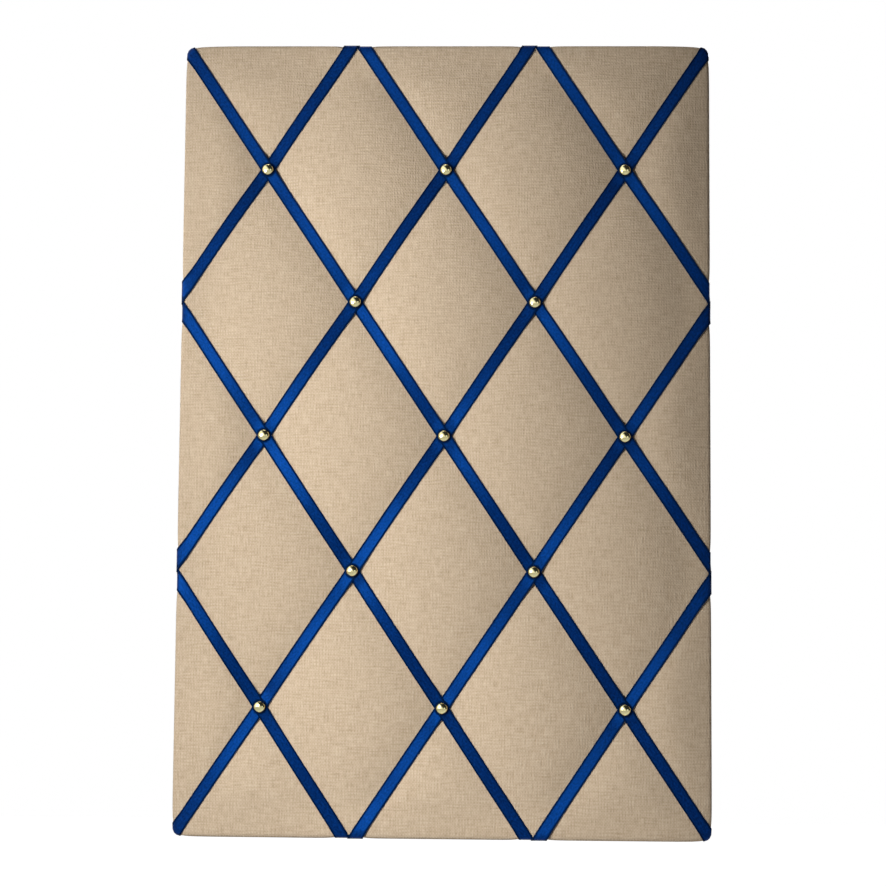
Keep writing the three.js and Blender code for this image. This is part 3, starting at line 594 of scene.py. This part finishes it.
def tufting_tree():
    """Geometry nodes that raise a flat sheet to the tufted face."""
    add, size = new_tree("tufted_padding", TUFTING, on_mesh=True)
    axes = add(SEPARATE, {0: add("GeometryNodeInputPosition")}).outputs
    across = add(MATH, {0: axes["X"], 1: size["Pitch Across"]}, operation="DIVIDE")
    down = add(MATH, {0: axes["Z"], 1: size["Pitch Down"]}, operation="DIVIDE")
    full = []
    for way in ("ADD", "SUBTRACT"):
        turn = add(MATH, {0: down, 1: across}, operation=way)
        line = add(MATH, {0: turn}, operation="ROUND")
        offset = add(MATH, {0: turn, 1: line}, operation="SUBTRACT")
        share = add(MATH, {0: offset}, operation="ABSOLUTE")
        away = add(MATH, {0: share, 1: size["Line Spacing"]}, operation="MULTIPLY")
        beside = add(MATH, {0: away, 1: size["Ribbon Seat"]}, operation="SUBTRACT")
        clear = add(MATH, {0: beside, 1: 0, 2: size["Seat Ease"]}, operation="SMOOTH_MAX")
        reach = add(MATH, {0: clear, 1: size["Puff Reach"]}, operation="DIVIDE")
        lower = add(MATH, {0: reach, 1: -1}, operation="MULTIPLY")
        sunk = add(MATH, {0: lower}, operation="EXPONENT")
        full.append(add(MATH, {0: 1, 1: sunk}, operation="SUBTRACT"))
    both = add(MATH, {0: full[0], 1: full[1]}, operation="ADD")
    raised = add(MATH, {0: both, 1: size["Swell"], 2: size["Nail Pinch"]}, operation="MULTIPLY_ADD")
    over_edge = add(MATH, {0: raised, 1: size["Edge Height"]}, operation="SUBTRACT")
    freed, fallen, slope = (
        add("GeometryNodeInputNamedAttribute", {"Name": name}, data_type="FLOAT").outputs["Attribute"]
        for name in ("release", "side_fall", "slope")
    )
    evened = add(MATH, {0: over_edge, 1: freed, 2: size["Edge Height"]}, operation="MULTIPLY_ADD")
    rounded = add(MATH, {0: evened, 1: fallen}, operation="SUBTRACT")
    lifted = add(MATH, {0: rounded, 1: size["Lift"]}, operation="ADD")
    sloped = add(MATH, {0: lifted, 1: slope}, operation="MULTIPLY")
    forward = add(MATH, {0: sloped, 1: -1}, operation="MULTIPLY")
    offset = add(COMBINE, {"Y": forward})
    moved = add("GeometryNodeSetPosition", {"Geometry": size["Geometry"], "Offset": offset})
    return end_tree(add, size, moved)


TUFTING_TREE = tufting_tree()


def tufted(obj, plan, lift, material):
    """Raises the first points of an object, which have plan places, and leaves the others."""
    slope = slope_of(roll_of(plan)[1])
    left = np.zeros(len(obj.data.vertices) - len(plan))
    shares = {"slope": slope, "release": release(plan), "side_fall": side_fall(plan) * MM}
    for name, values in shares.items():
        point_attribute(obj, name, np.append(values, left))
    with_nodes(obj, TUFTING_TREE, material, {**TUFTING, "Lift": lift})


def billowed(plan):
    """How far forward the cloth billows between the ribbons that hold it, from a short cloth simulation."""
    lines = [np.linspace(-half, half, 2 * round(half / BILLOW_CELL) + 1) for half in (CORE_X, CORE_Z)]
    net = np.stack(np.meshgrid(*lines), -1)
    rows, columns = net.shape[:2]
    net = net.reshape(-1, 2)
    start = at_depth(net, FRONT_Y - swell(net))
    trial = mesh_object("billowing_cloth", start, grid_faces(rows, columns), LINEN)
    fall, rise = arches(net, BILLOW_HOLD)
    held = trial.vertex_groups.new(name="held")
    for index, weight in enumerate(1 - fall * rise * release(net)):
        held.add([index], weight, "REPLACE")
    cloth = trial.modifiers.new("billow", "CLOTH")
    cloth.settings.vertex_group_mass = held.name
    cloth.settings.use_pressure = True
    cloth.settings.uniform_pressure_force = BILLOW_PRESSURE
    cloth.settings.effector_weights.gravity = 0
    cloth.collision_settings.use_collision = False
    cloth.point_cache.frame_end = BILLOW_FRAMES
    for step in range(1, BILLOW_FRAMES + 1):
        scene.frame_set(step)
    settle(trial)
    ended = np.empty(len(net) * 3)
    trial.data.vertices.foreach_get("co", ended)
    bpy.data.objects.remove(trial)
    scene.frame_set(1)
    forward = np.clip(start[:, 1] - ended[1::3] / MM, 0, BILLOW).reshape(rows, columns)
    # Each point of the finer cloth takes its share of the four net points round it
    share, cell = [], []
    for axis, line in enumerate(lines):
        place = np.interp(plan[:, axis], line, np.arange(len(line)))
        cell.append(np.minimum(place.astype(int), len(line) - 2))
        share.append(place - cell[-1])
    left, low = cell
    near = forward[low, left] * (1 - share[0]) + forward[low, left + 1] * share[0]
    far = forward[low + 1, left] * (1 - share[0]) + forward[low + 1, left + 1] * share[0]
    return near * (1 - share[1]) + far * share[1]


def fold_turns():
    """Steps round the back edge, each with its turn, how far in it is and how deep."""
    for turn in np.linspace(0, math.pi / 2, FOLD_STEPS + 1):
        depth = HEM_Y - BACK_FOLD + BACK_FOLD * math.sin(turn)
        yield turn, BACK_FOLD * (1 - math.cos(turn)), depth


def linen_cover():
    """One cloth over the face, round the edges and in over the back as a hem."""
    plan, rows, columns = face_grid(CLOTH_CELL)
    roll = roll_of(plan)[1]
    bulge = edge_bulge(plan)
    points = [at_depth(plan + roll * bulge[:, None], FRONT_Y)]
    flat = [plan + roll * (np.arcsin(np.clip(corner_norm(roll), 0, 1)) * ROLL_DRAW)[:, None]]
    faces = [grid_faces(rows, columns)]
    loop = border_loop(rows, columns)
    rim, outward = plan[loop], roll[loop]
    outward = outward / np.linalg.norm(outward, axis=1)[:, None]
    hem_end = rim * (1 - HEM_DEPTH / np.array([HALF_WIDTH, HALF_HEIGHT]))

    # Rings of the cloth down the side, round the back edge and in over the back, with the way to each
    straight = SIDE_DEPTH - BACK_FOLD
    rings = [(rim, FRONT_Y + straight * share, straight * share) for share in SIDE_SHARES]
    for turn, inset, depth in fold_turns():
        rings.append((rim - outward * inset, depth, straight + BACK_FOLD * turn))
    folded = rim - outward * BACK_FOLD
    for share in np.linspace(0, 1, HEM_STEPS + 1)[1:]:
        rings.append((folded + (hem_end - folded) * share, HEM_Y, SIDE_DEPTH + HEM_DEPTH * share))

    near = loop
    count = len(plan)
    for place, y, travel in rings:
        held_in = bulge[loop] * (1 - min(travel / SIDE_DEPTH, 1))
        far = np.arange(count, count + len(loop))
        points.append(at_depth(place + outward * held_in[:, None], y))
        flat.append(rim + outward * travel)
        faces.append(bridge(near, far))
        near = far
        count += len(loop)

    cover = mesh_object("linen_cover", np.concatenate(points), np.concatenate(faces), LINEN)
    cloth = np.concatenate(flat)
    point_attribute(cover, "cloth_mm", np.column_stack([cloth, np.zeros(len(cloth))]))
    tufted(cover, plan, 0, LINEN)
    raised = np.empty(len(cover.data.vertices) * 3)
    cover.data.vertices.foreach_get("co", raised)
    raised[1:3 * len(plan):3] -= billowed(plan) * MM
    cover.data.vertices.foreach_set("co", raised)
    wall = cover.modifiers.new("cloth", "SOLIDIFY")
    wall.thickness = CLOTH_THICKNESS * MM
    wall.offset = -1
    settle(cover)
    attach(cover, "board")
    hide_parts("fabric_cover")


def wadding_pad():
    """The padding under the cloth, pinched at the nails and flat on the panel."""
    plan, rows, columns = face_grid(PADDING_CELL)
    core, roll = roll_of(plan)
    sunk = CLOTH_THICKNESS + PADDING_GAP
    base = FRONT_Y - PADDING_GAP
    top = at_depth(core + roll * (EDGE_ROLL - sunk - PADDING_SETBACK), base)
    loop = border_loop(rows, columns)
    faces = [list(f) for f in grid_faces(rows, columns)]
    faces += [[place, len(top), after] for place, after in zip(loop, np.roll(loop, -1))]
    pad = mesh_object("wadding_pad", np.vstack([top, [[0, base, 0]]]), faces, WADDING)
    tufted(pad, plan, -sunk, WADDING)
    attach(pad, "board")
    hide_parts("wadding")


# Ribbons

class Ribbon:
    """One ribbon: hand 1 falls to the right and -1 rises to the right; lanes count up from the middle one."""

    def __init__(self, hand, lane):
        self.hand = hand
        self.lane = lane
        self.reach = DIAMONDS - abs(lane)
        self.along = np.array([-hand * PITCH_ACROSS, PITCH_DOWN]) / PITCH_SLANT
        self.across = np.array([PITCH_DOWN, hand * PITCH_ACROSS]) / PITCH_SLANT
        self.middle = np.array([hand * lane * PITCH_ACROSS, lane * PITCH_DOWN]) / 2
        self.name = f"{'fall' if hand > 0 else 'rise'}_{lane + DIAMONDS}"

    def at(self, run, sides=RIBBON_SIDES):
        """Plan places of a row across the ribbon, at a distance along it from its middle."""
        run = np.broadcast_to(run, sides.shape)
        width = sides[:, None] * RIBBON_WIDTH / 2
        return self.middle + run[:, None] * self.along + width * self.across

    def is_upper(self, node):
        return (self.hand > 0) == ((self.lane + node) % 2 == 0)


class Exit:
    """Where a ribbon leaves the face at one end, which is 1 for the upper end and -1 for the lower."""

    def __init__(self, ribbon, end):
        self.ribbon = ribbon
        self.end = end
        self.node = end * ribbon.reach
        on_side = abs(ribbon.lane - self.node) == DIAMONDS
        self.on_corner = on_side and abs(ribbon.lane + self.node) == DIAMONDS
        self.normal = 0 if on_side else 1
        self.tangent = 1 - self.normal
        self.half = HALF_WIDTH if on_side else HALF_HEIGHT
        self.overrun = SIDE_OVERRUN if on_side else END_OVERRUN
        self.place = ribbon.middle + ribbon.along * self.node * PITCH_SLANT / 2
        self.facing = math.copysign(1, self.place[self.normal])
        outward = ribbon.along * end
        self.climb = abs(outward[self.normal])
        self.drift = outward[self.tangent] / self.climb
        self.half_width = RIBBON_WIDTH / 2 * math.copysign(1, ribbon.across[self.tangent]) / self.climb
        lead = RIBBON_WIDTH / 2 * abs(ribbon.across[self.normal])
        self.flat_run = self.run_to(self.half - EDGE_ROLL - lead)
        self.roll_run = self.run_to(self.half - EDGE_ROLL)
        # A row that keeps level with the edge runs ahead on one side of the ribbon
        self.skew = -RIBBON_WIDTH / 2 * ribbon.across[self.normal] / ribbon.along[self.normal]
        over = ribbon.is_upper(self.node) and not self.on_corner
        self.lift = EXIT_LIFT if over else LOWER_LIFT
        if self.on_corner:
            self.rim = np.array([self.outline_distance(side) for side in RIBBON_SIDES])

    def run_to(self, level):
        """Distance along the ribbon at which its middle reaches a level towards the edge."""
        return self.end * (level - self.ribbon.middle[self.normal] * self.facing) / self.climb

    def plan(self, level, travel):
        row = np.zeros((len(RIBBON_SIDES), 2))
        row[:, self.normal] = self.facing * level
        row[:, self.tangent] = self.place[self.tangent] + self.drift * travel + RIBBON_SIDES * self.half_width
        return row

    def outline_distance(self, side):
        """Distance from the end of the flat face to the outline, straight along the ribbon, by halving."""
        near, far = 0, 2 * EDGE_ROLL + RIBBON_WIDTH
        for halving in range(HALVINGS):
            middle = (near + far) / 2
            plan = self.ribbon.at(self.flat_run + self.end * middle, np.array([side]))
            inside = corner_norm(roll_of(plan)[1])[0] < 1
            near, far = (middle, far) if inside else (near, middle)
        return near


def face_places(plan, height, lift):
    """Places of a row on the padded face at a height, or round its rolled edge."""
    core, roll = roll_of(plan)
    flat = core + roll * (EDGE_ROLL + lift)[..., None]
    return at_depth(flat, FRONT_Y - (height + lift) * slope_of(roll))


def side_places(plan, inset, y, way, lift):
    """Places of a row down the side or round the back edge, where a way leads out of the cloth."""
    core, roll = roll_of(plan)
    roll = roll / corner_norm(roll)[:, None]
    flat = core + roll * (EDGE_ROLL - inset + lift * way[0])[:, None]
    return at_depth(flat, y + lift * way[1])


def back_places(plan, lift):
    return at_depth(plan, HEM_Y + lift)


def across_mean(values):
    """Values of the two edges of a row, drawn straight across it."""
    share = (RIBBON_SIDES + 1) / 2
    return values[0] * (1 - share) + values[-1] * share


def face_row(ribbon, exits, run, runs):
    """A row on the padded face, with its lift: flat over a crossing, and bridging the valley elsewhere."""
    plan = ribbon.at(runs)
    height = swell(plan)
    lift = LOWER_LIFT
    for node in range(1 - ribbon.reach, ribbon.reach):
        away = abs(run - node * PITCH_SLANT / 2)
        hold = 1 - smooth(CROSSING_REACH, CROSSING_REACH + LIFT_RAMP, away)
        height = np.maximum(height, hold * CROSSING_HEIGHT + (1 - hold) * height)
        if ribbon.is_upper(node):
            rise = 1 - smooth(CROSSING_REACH, CROSSING_REACH + 2 * LIFT_RAMP, away)
            lift += rise * (UPPER_LIFT - LOWER_LIFT)
    for leaving in exits:
        near = 1 - smooth(0, EDGE_RAMP, leaving.end * (leaving.roll_run - run))
        lift += near * (leaving.lift - LOWER_LIFT)
    if not any(leaving.on_corner for leaving in exits):
        height = across_mean(height)
    return partial(face_places, plan, height), lift


def face_rows(ribbon, exits):
    """Rows from one rolled edge to the other."""
    first, last = (leaving.flat_run for leaving in exits)
    count = round((last - first) / RIBBON_STEP)
    rows = [face_row(ribbon, exits, run, run) for run in np.linspace(first, last, count + 1)]
    for leaving in exits:
        extra = []
        flat = leaving.flat_run
        if leaving.on_corner:
            for share in roll_shares(2 * ROLL_STEPS):
                runs = flat + leaving.end * leaving.rim * share
                extra.append(face_row(ribbon, exits, runs.mean(), runs))
        else:
            for share in np.linspace(0, 1, LEVEL_STEPS + 1)[1:]:
                run = flat + (leaving.roll_run - flat) * share
                extra.append(face_row(ribbon, exits, run, run + RIBBON_SIDES * leaving.skew * share))
            for share in roll_shares(ROLL_STEPS):
                run = leaving.run_to(leaving.half - EDGE_ROLL + EDGE_ROLL * share)
                extra.append(face_row(ribbon, exits, run, run + RIBBON_SIDES * leaving.skew))
        rows = rows + extra if leaving.end > 0 else extra[::-1] + rows
    return rows


def back_rows(leaving):
    """Rows down the side, round the back edge and in over the back, with their lifts."""
    ribbon = leaving.ribbon
    straight = SIDE_DEPTH - BACK_FOLD
    fold = SIDE_DEPTH - leaving.overrun
    if leaving.on_corner:
        edge = ribbon.at(leaving.flat_run + leaving.end * leaving.rim)
        inner = ribbon.at(leaving.run_to(leaving.half - RIBBON_TAIL))
    else:
        edge = leaving.plan(leaving.half, fold)
        inner = leaving.plan(leaving.half - RIBBON_TAIL, fold + RIBBON_TAIL)

    def side_plan(travel):
        return edge if leaving.on_corner else leaving.plan(leaving.half, travel - leaving.overrun)

    rows = []
    for depth in np.linspace(0, straight, SIDE_STEPS + 1)[1:]:
        place = partial(side_places, side_plan(depth), 0, FRONT_Y + depth, (1, 0))
        rows.append((place, leaving.lift))
    for turn, inset, depth in list(fold_turns())[1:]:
        way = (math.cos(turn), math.sin(turn))
        plan = side_plan(straight + BACK_FOLD * math.sin(turn))
        rows.append((partial(side_places, plan, inset, depth, way), leaving.lift))

    folded = edge - roll_of(edge)[1] * BACK_FOLD
    held = 0
    if not leaving.on_corner and ribbon.is_upper(leaving.node):
        crossing_half = RIBBON_WIDTH / 2 / abs(leaving.drift * leaving.climb)
        held = max(0, crossing_half - fold) + CROSSING_MARGIN
    for inward in np.linspace(0, RIBBON_TAIL, round(RIBBON_TAIL / RIBBON_STEP) + 1)[1:]:
        plan = folded + (inner - folded) * (inward / RIBBON_TAIL)
        drop = smooth(held, held + LIFT_RAMP, inward)
        rows.append((partial(back_places, plan), leaving.lift + (LOWER_LIFT - leaving.lift) * drop))
    return rows


def satin_ribbon(hand, lane):
    """A ribbon laid over the padding, woven over and under at the nails and folded in behind."""
    ribbon = Ribbon(hand, lane)
    exits = [Exit(ribbon, -1), Exit(ribbon, 1)]
    rows = back_rows(exits[0])[::-1] + face_rows(ribbon, exits) + back_rows(exits[1])
    ones = np.ones(len(RIBBON_SIDES))
    selvedge = SELVEDGE_RISE * (np.abs(RIBBON_SIDES) > SELVEDGE_SHARE)
    tops = np.array([place(ones * lift + RIBBON_THICKNESS + selvedge) for place, lift in rows])
    unders = np.array([place(ones * lift) for place, lift in rows])
    rings = np.concatenate([tops, unders[:, ::-1]], 1)
    count = rings.shape[1]
    starts = np.arange(len(rings)) * count
    around = np.arange(count)
    faces = [f for near, far in zip(starts[:-1], starts[1:]) for f in bridge(near + around, far + around)]
    for start in (starts[0], starts[-1]):
        for k in range(count // 2 - 1):
            faces.append([start + k, start + k + 1, start + count - 2 - k, start + count - 1 - k])
    obj = mesh_object(f"satin_ribbon_{ribbon.name}", rings.reshape(-1, 3), faces, SATIN)

    # The satin's pattern lies along the ribbon and its gleam across it
    centre = tops[:, len(RIBBON_SIDES) // 2]
    travel = np.append(0, np.cumsum(np.linalg.norm(np.diff(centre, axis=0), axis=1)))
    sides = np.append(RIBBON_SIDES, RIBBON_SIDES[::-1]) * RIBBON_WIDTH / 2
    shift = np.full(len(rings) * count, LANE_SHIFT * lane)
    place = np.stack([np.repeat(travel, count), np.tile(sides, len(rings)), shift], -1)
    point_attribute(obj, "ribbon_mm", place)
    along = np.gradient(centre, axis=0)
    along /= np.linalg.norm(along, axis=1)[:, None]
    across = tops[:, -1] - tops[:, 0]
    across -= (across * along).sum(1)[:, None] * along
    across /= np.linalg.norm(across, axis=1)[:, None]
    point_attribute(obj, "ribbon_across", np.repeat(across, count, axis=0))
    face_outward(obj)
    shade(obj.data)
    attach(obj, "board")
    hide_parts(f"ribbon_{ribbon.name}")


# Dome nails

def dome_nail_tree(lengths, counts):
    """Geometry nodes that set a dome nail at every other crossing of a lattice."""
    add, size = new_tree("dome_nails", lengths, counts)
    ball = add("GeometryNodeMeshUVSphere", {"Segments": 40, "Rings": 24, "Radius": 1})
    axes = add(SEPARATE, {0: add("GeometryNodeInputPosition")}).outputs
    radius = add(MATH, {0: size["Head Width"], 1: 0.5}, operation="MULTIPLY")
    crown = add(MATH, {0: size["Head Height"], 1: size["Rim"]}, operation="SUBTRACT")
    above = add(MATH, {0: axes["Z"], 1: 0}, operation="MAXIMUM")
    below = add(MATH, {0: axes["Z"], 1: 0}, operation="MINIMUM")
    top = add(MATH, {0: above, 1: crown, 2: size["Rim"]}, operation="MULTIPLY_ADD")
    level = add(MATH, {0: below, 1: size["Rim"], 2: top}, operation="MULTIPLY_ADD")
    wide = [add(MATH, {0: axes[axis], 1: radius}, operation="MULTIPLY") for axis in "XY"]
    shaped = add(COMBINE, {"X": wide[0], "Y": wide[1], "Z": level})
    # The head's height share, which the brass's painted rim shade reads
    share = {"Name": "crown_share", "Geometry": ball, "Value": axes["Z"]}
    marked = add("GeometryNodeStoreNamedAttribute", share, data_type="FLOAT", domain="POINT")
    head = add("GeometryNodeSetPosition", {"Geometry": marked, "Position": shaped})
    thin = add(MATH, {0: size["Shank"], 1: 0.5}, operation="MULTIPLY")
    spike = add("GeometryNodeMeshCone", {
        "Vertices": 12, "Side Segments": 4, "Radius Top": NAIL_TIP * MM, "Radius Bottom": thin,
        "Depth": size["Length"],
    })
    under = add("GeometryNodeTransform", {"Geometry": spike, "Rotation": (math.pi, 0, 0)})
    nail = add("GeometryNodeJoinGeometry")
    for part in (under, head):
        feed(nail, {0: part})
    spread = [add(MATH, {0: size[f"Pitch {way}"], 1: 2}, operation="MULTIPLY") for way in ("Across", "Down")]
    odd = add(MATH, {0: add("GeometryNodeInputIndex"), 1: 2}, operation="MODULO")
    return end_on_lattice(add, size, spread, [size["Places"]] * 2, odd, nail)


def dome_nails():
    lengths = {
        "Head Width": NAIL_HEAD_WIDTH, "Head Height": NAIL_HEAD_HEIGHT, "Rim": NAIL_RIM, "Shank": NAIL_SHANK,
        "Length": nail_high.y - NAIL_SEAT_Y, "Pitch Across": PITCH_ACROSS, "Pitch Down": PITCH_DOWN,
        "Seat": NAIL_SEAT_Y,
    }
    counts = {"Places": 2 * DIAMONDS - 1}
    nails = mesh_object("brass_dome_nails", np.zeros((1, 3)), [], BRASS)
    with_nodes(nails, dome_nail_tree(lengths, counts), BRASS, lengths, counts)
    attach(nails, "board")
    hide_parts(*[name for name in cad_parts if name.startswith("dome_nail_")])


# Hanging rings

def bent_wire_tree():
    """Geometry nodes that sweep round wire along a path of edges."""
    add, size = new_tree("bent_wire", ["Wire"], on_mesh=True)
    path = add("GeometryNodeMeshToCurve", {0: size["Geometry"]})
    radius = add(MATH, {0: size["Wire"], 1: 0.5}, operation="MULTIPLY")
    section = add("GeometryNodeCurvePrimitiveCircle", {"Resolution": 20, "Radius": radius})
    swept = add("GeometryNodeCurveToMesh", {"Curve": path, "Profile Curve": section})
    return end_tree(add, size, swept)


def hanging_ring(tree, hand):
    """A D-shaped ring of steel wire: a straight bar in the strap's eye, and a round bow below it."""
    node = f"hanger_ring_{hand}"
    low, high = (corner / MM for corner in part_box(node))
    wire = high.y - low.y
    middle = (low + high) / 2
    half_width = (high.x - low.x - wire) / 2
    top = high.z - wire / 2
    bow = top - low.z - wire / 2 - RING_CORNER
    turns = np.linspace(0, math.pi / 2, RING_STEPS + 1)
    corner = RING_CORNER * np.stack([np.sin(turns), np.cos(turns)], -1)
    corner += [half_width - RING_CORNER, -RING_CORNER]
    round_bow = np.linspace(0, math.pi, 3 * RING_STEPS + 1)[1:-1]
    lower = np.stack([half_width * np.cos(round_bow), -RING_CORNER - bow * np.sin(round_bow)], -1)
    path = np.vstack([corner, lower, corner[::-1] * [-1, 1]])
    points = at_depth(path + [middle.x, top], middle.y)
    count = len(points)
    mesh = bpy.data.meshes.new(f"d_ring_{hand}")
    mesh.from_pydata((points * MM).tolist(), [(k, (k + 1) % count) for k in range(count)], [])
    ring = new_object(f"d_ring_{hand}", mesh)
    with_nodes(ring, tree, STEEL, {"Wire": wire})
    face_outward(ring)
    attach(ring, f"{hand}_ring")
    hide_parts(node)


# Backing pins

def backing_pin_tree(lengths, counts):
    """Geometry nodes that set flat pin heads round a rectangle."""
    add, size = new_tree("backing_pins", lengths, counts)
    axes = add(SEPARATE, {0: add("GeometryNodeInputPosition")}).outputs
    spread = [size["Width"], size["Height"]]
    within = []
    for axis, length in zip("XY", spread):
        away = add(MATH, {0: axes[axis]}, operation="ABSOLUTE")
        edge = add(MATH, {0: length, 1: BORDER_SHARE}, operation="MULTIPLY")
        within.append(add(MATH, {0: away, 1: edge}, operation="LESS_THAN"))
    inside = add(MATH, {0: within[0], 1: within[1]}, operation="MULTIPLY")
    ball = add("GeometryNodeMeshUVSphere", {"Segments": 16, "Rings": 8, "Radius": 0.5})
    shape = add(COMBINE, {"X": size["Head Width"], "Y": size["Head Width"], "Z": size["Head Height"]})
    return end_on_lattice(add, size, spread, [size["Pins Across"], size["Pins Down"]], inside, ball, shape)


def backing_pins():
    lengths = {
        "Width": backing_high.x - backing_low.x - 2 * PIN_INSET,
        "Height": backing_high.z - backing_low.z - 2 * PIN_INSET,
        "Head Width": PIN_HEAD_WIDTH, "Head Height": 2 * PIN_HEAD_HEIGHT, "Seat": backing_high.y,
    }
    counts = {"Pins Across": PINS_ACROSS, "Pins Down": PINS_DOWN}
    pins = mesh_object("backing_pins", np.zeros((1, 3)), [], STEEL)
    with_nodes(pins, backing_pin_tree(lengths, counts), STEEL, lengths, counts)
    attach(pins, "board")


# Pieces that keep the shape of the frame

def finish_frame_pieces():
    finishes = {"panel": SOFTBOARD, "backing_sheet": HARDBOARD, "tail_staple_": STEEL, "hanger_": STEEL}
    for name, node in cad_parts.items():
        for start, material in finishes.items():
            if name.startswith(start):
                node.data.materials.clear()
                node.data.materials.append(material)


# Stage

def camera():
    data = bpy.data.cameras.new("camera")
    data.sensor_width = SENSOR_WIDTH
    data.lens = FOCAL_PIXELS / IMAGE_PIXELS * SENSOR_WIDTH
    obj = new_object("camera", data)
    turn = Matrix.Rotation(math.radians(CAMERA_YAW), 4, "Z")
    tilt = Matrix.Rotation(math.radians(90 + CAMERA_PITCH), 4, "X")
    lean = Matrix.Rotation(math.radians(CAMERA_ROLL), 4, "Z")
    obj.matrix_world = Matrix.Translation(Vector(CAMERA_PLACE) * MM) @ turn @ tilt @ lean
    scene.camera = obj


def soft_lamp(name, place, size, power, aim=(0, 0, 0), spread=180):
    """A square lamp that faces a place on the board."""
    data = bpy.data.lights.new(name, "AREA")
    data.shape = "SQUARE"
    data.size = size * MM
    data.energy = power
    data.spread = math.radians(spread)
    obj = new_object(name, data)
    obj.location = Vector(place) * MM
    obj.rotation_euler = (Vector(aim) - Vector(place)).to_track_quat("-Z", "Y").to_euler()


def light_rays(add):
    """1 for rays to the camera, and 1 for rays that show the surroundings in a mirror or clear glass."""
    ray = add("ShaderNodeLightPath").outputs
    mirrored = add(MATH, {0: ray["Is Glossy Ray"], 1: ray["Is Transmission Ray"]}, operation="MAXIMUM")
    return ray["Is Camera Ray"], mirrored


def room():
    """White for the camera, a dim fill on the object, and a window and a door for polished metal."""
    world = bpy.data.worlds.new("studio")
    scene.world = world
    world.use_nodes = True
    world.node_tree.nodes.clear()
    add = partial(add_node, world.node_tree)
    seen, mirrored = light_rays(add)
    # The room is bright by its window, low on the left, and dim across from it
    direction = add("ShaderNodeTexCoord").outputs["Generated"]
    gleams = []
    for way, edge, dim in ((WINDOW_WAY, WINDOW_EDGE, ROOM_LIGHT), (DOOR_WAY, DOOR_EDGE, 0)):
        facing = add(VECTOR_MATH, {0: direction, 1: way}, operation="DOT_PRODUCT").outputs["Value"]
        gleams.append(add(MAP_RANGE, {"Value": facing, **edge, "To Min": dim, "To Max": WINDOW_LIGHT}))
    gleam = add(MATH, {0: gleams[0], 1: gleams[1]}, operation="MAXIMUM")
    fill, shown, white = (
        add("ShaderNodeBackground", {"Color": (1, 1, 1, 1), "Strength": strength})
        for strength in (FILL_LIGHT, gleam, 1)
    )
    unseen = add("ShaderNodeMixShader", {0: mirrored, 1: fill, 2: shown})
    whole = add("ShaderNodeMixShader", {0: seen, 1: unseen, 2: white})
    add("ShaderNodeOutputWorld", {"Surface": whole})


def pale_floor():
    """A painted matt floor, white for the camera and pale in polished metal."""
    material, add, shader = new_material("pale_floor")
    feed(shader, {"Base Color": linear("#f2f1ee"), "Roughness": 0.9})
    seen, mirrored = light_rays(add)
    bright = add(MATH, {0: mirrored, 1: FLOOR_GLEAM, 2: seen}, operation="MULTIPLY_ADD")
    glow = add("ShaderNodeEmission", {"Color": (1, 1, 1, 1), "Strength": bright})
    both = add("ShaderNodeAddShader", {0: shader, 1: glow})
    feed(material.node_tree.nodes["Material Output"], {"Surface": both})
    corners = [(-1, -1), (1, -1), (1, 1), (-1, 1)]
    points = [(x * FLOOR_HALF, y * FLOOR_HALF, FLOOR_Z) for x, y in corners]
    floor = mesh_object("floor", points, [[0, 1, 2, 3]], material)


# The board

wadding_pad()
linen_cover()
for hand in (1, -1):
    for lane in range(1 - DIAMONDS, DIAMONDS):
        satin_ribbon(hand, lane)
dome_nails()
wire_tree = bent_wire_tree()
for hand in ("left", "right"):
    hanging_ring(wire_tree, hand)
backing_pins()
finish_frame_pieces()
camera()
room()
pale_floor()
for name, lamp in LAMPS.items():
    soft_lamp(name, **lamp)
bpy.context.scene.view_settings.view_transform = "Standard"
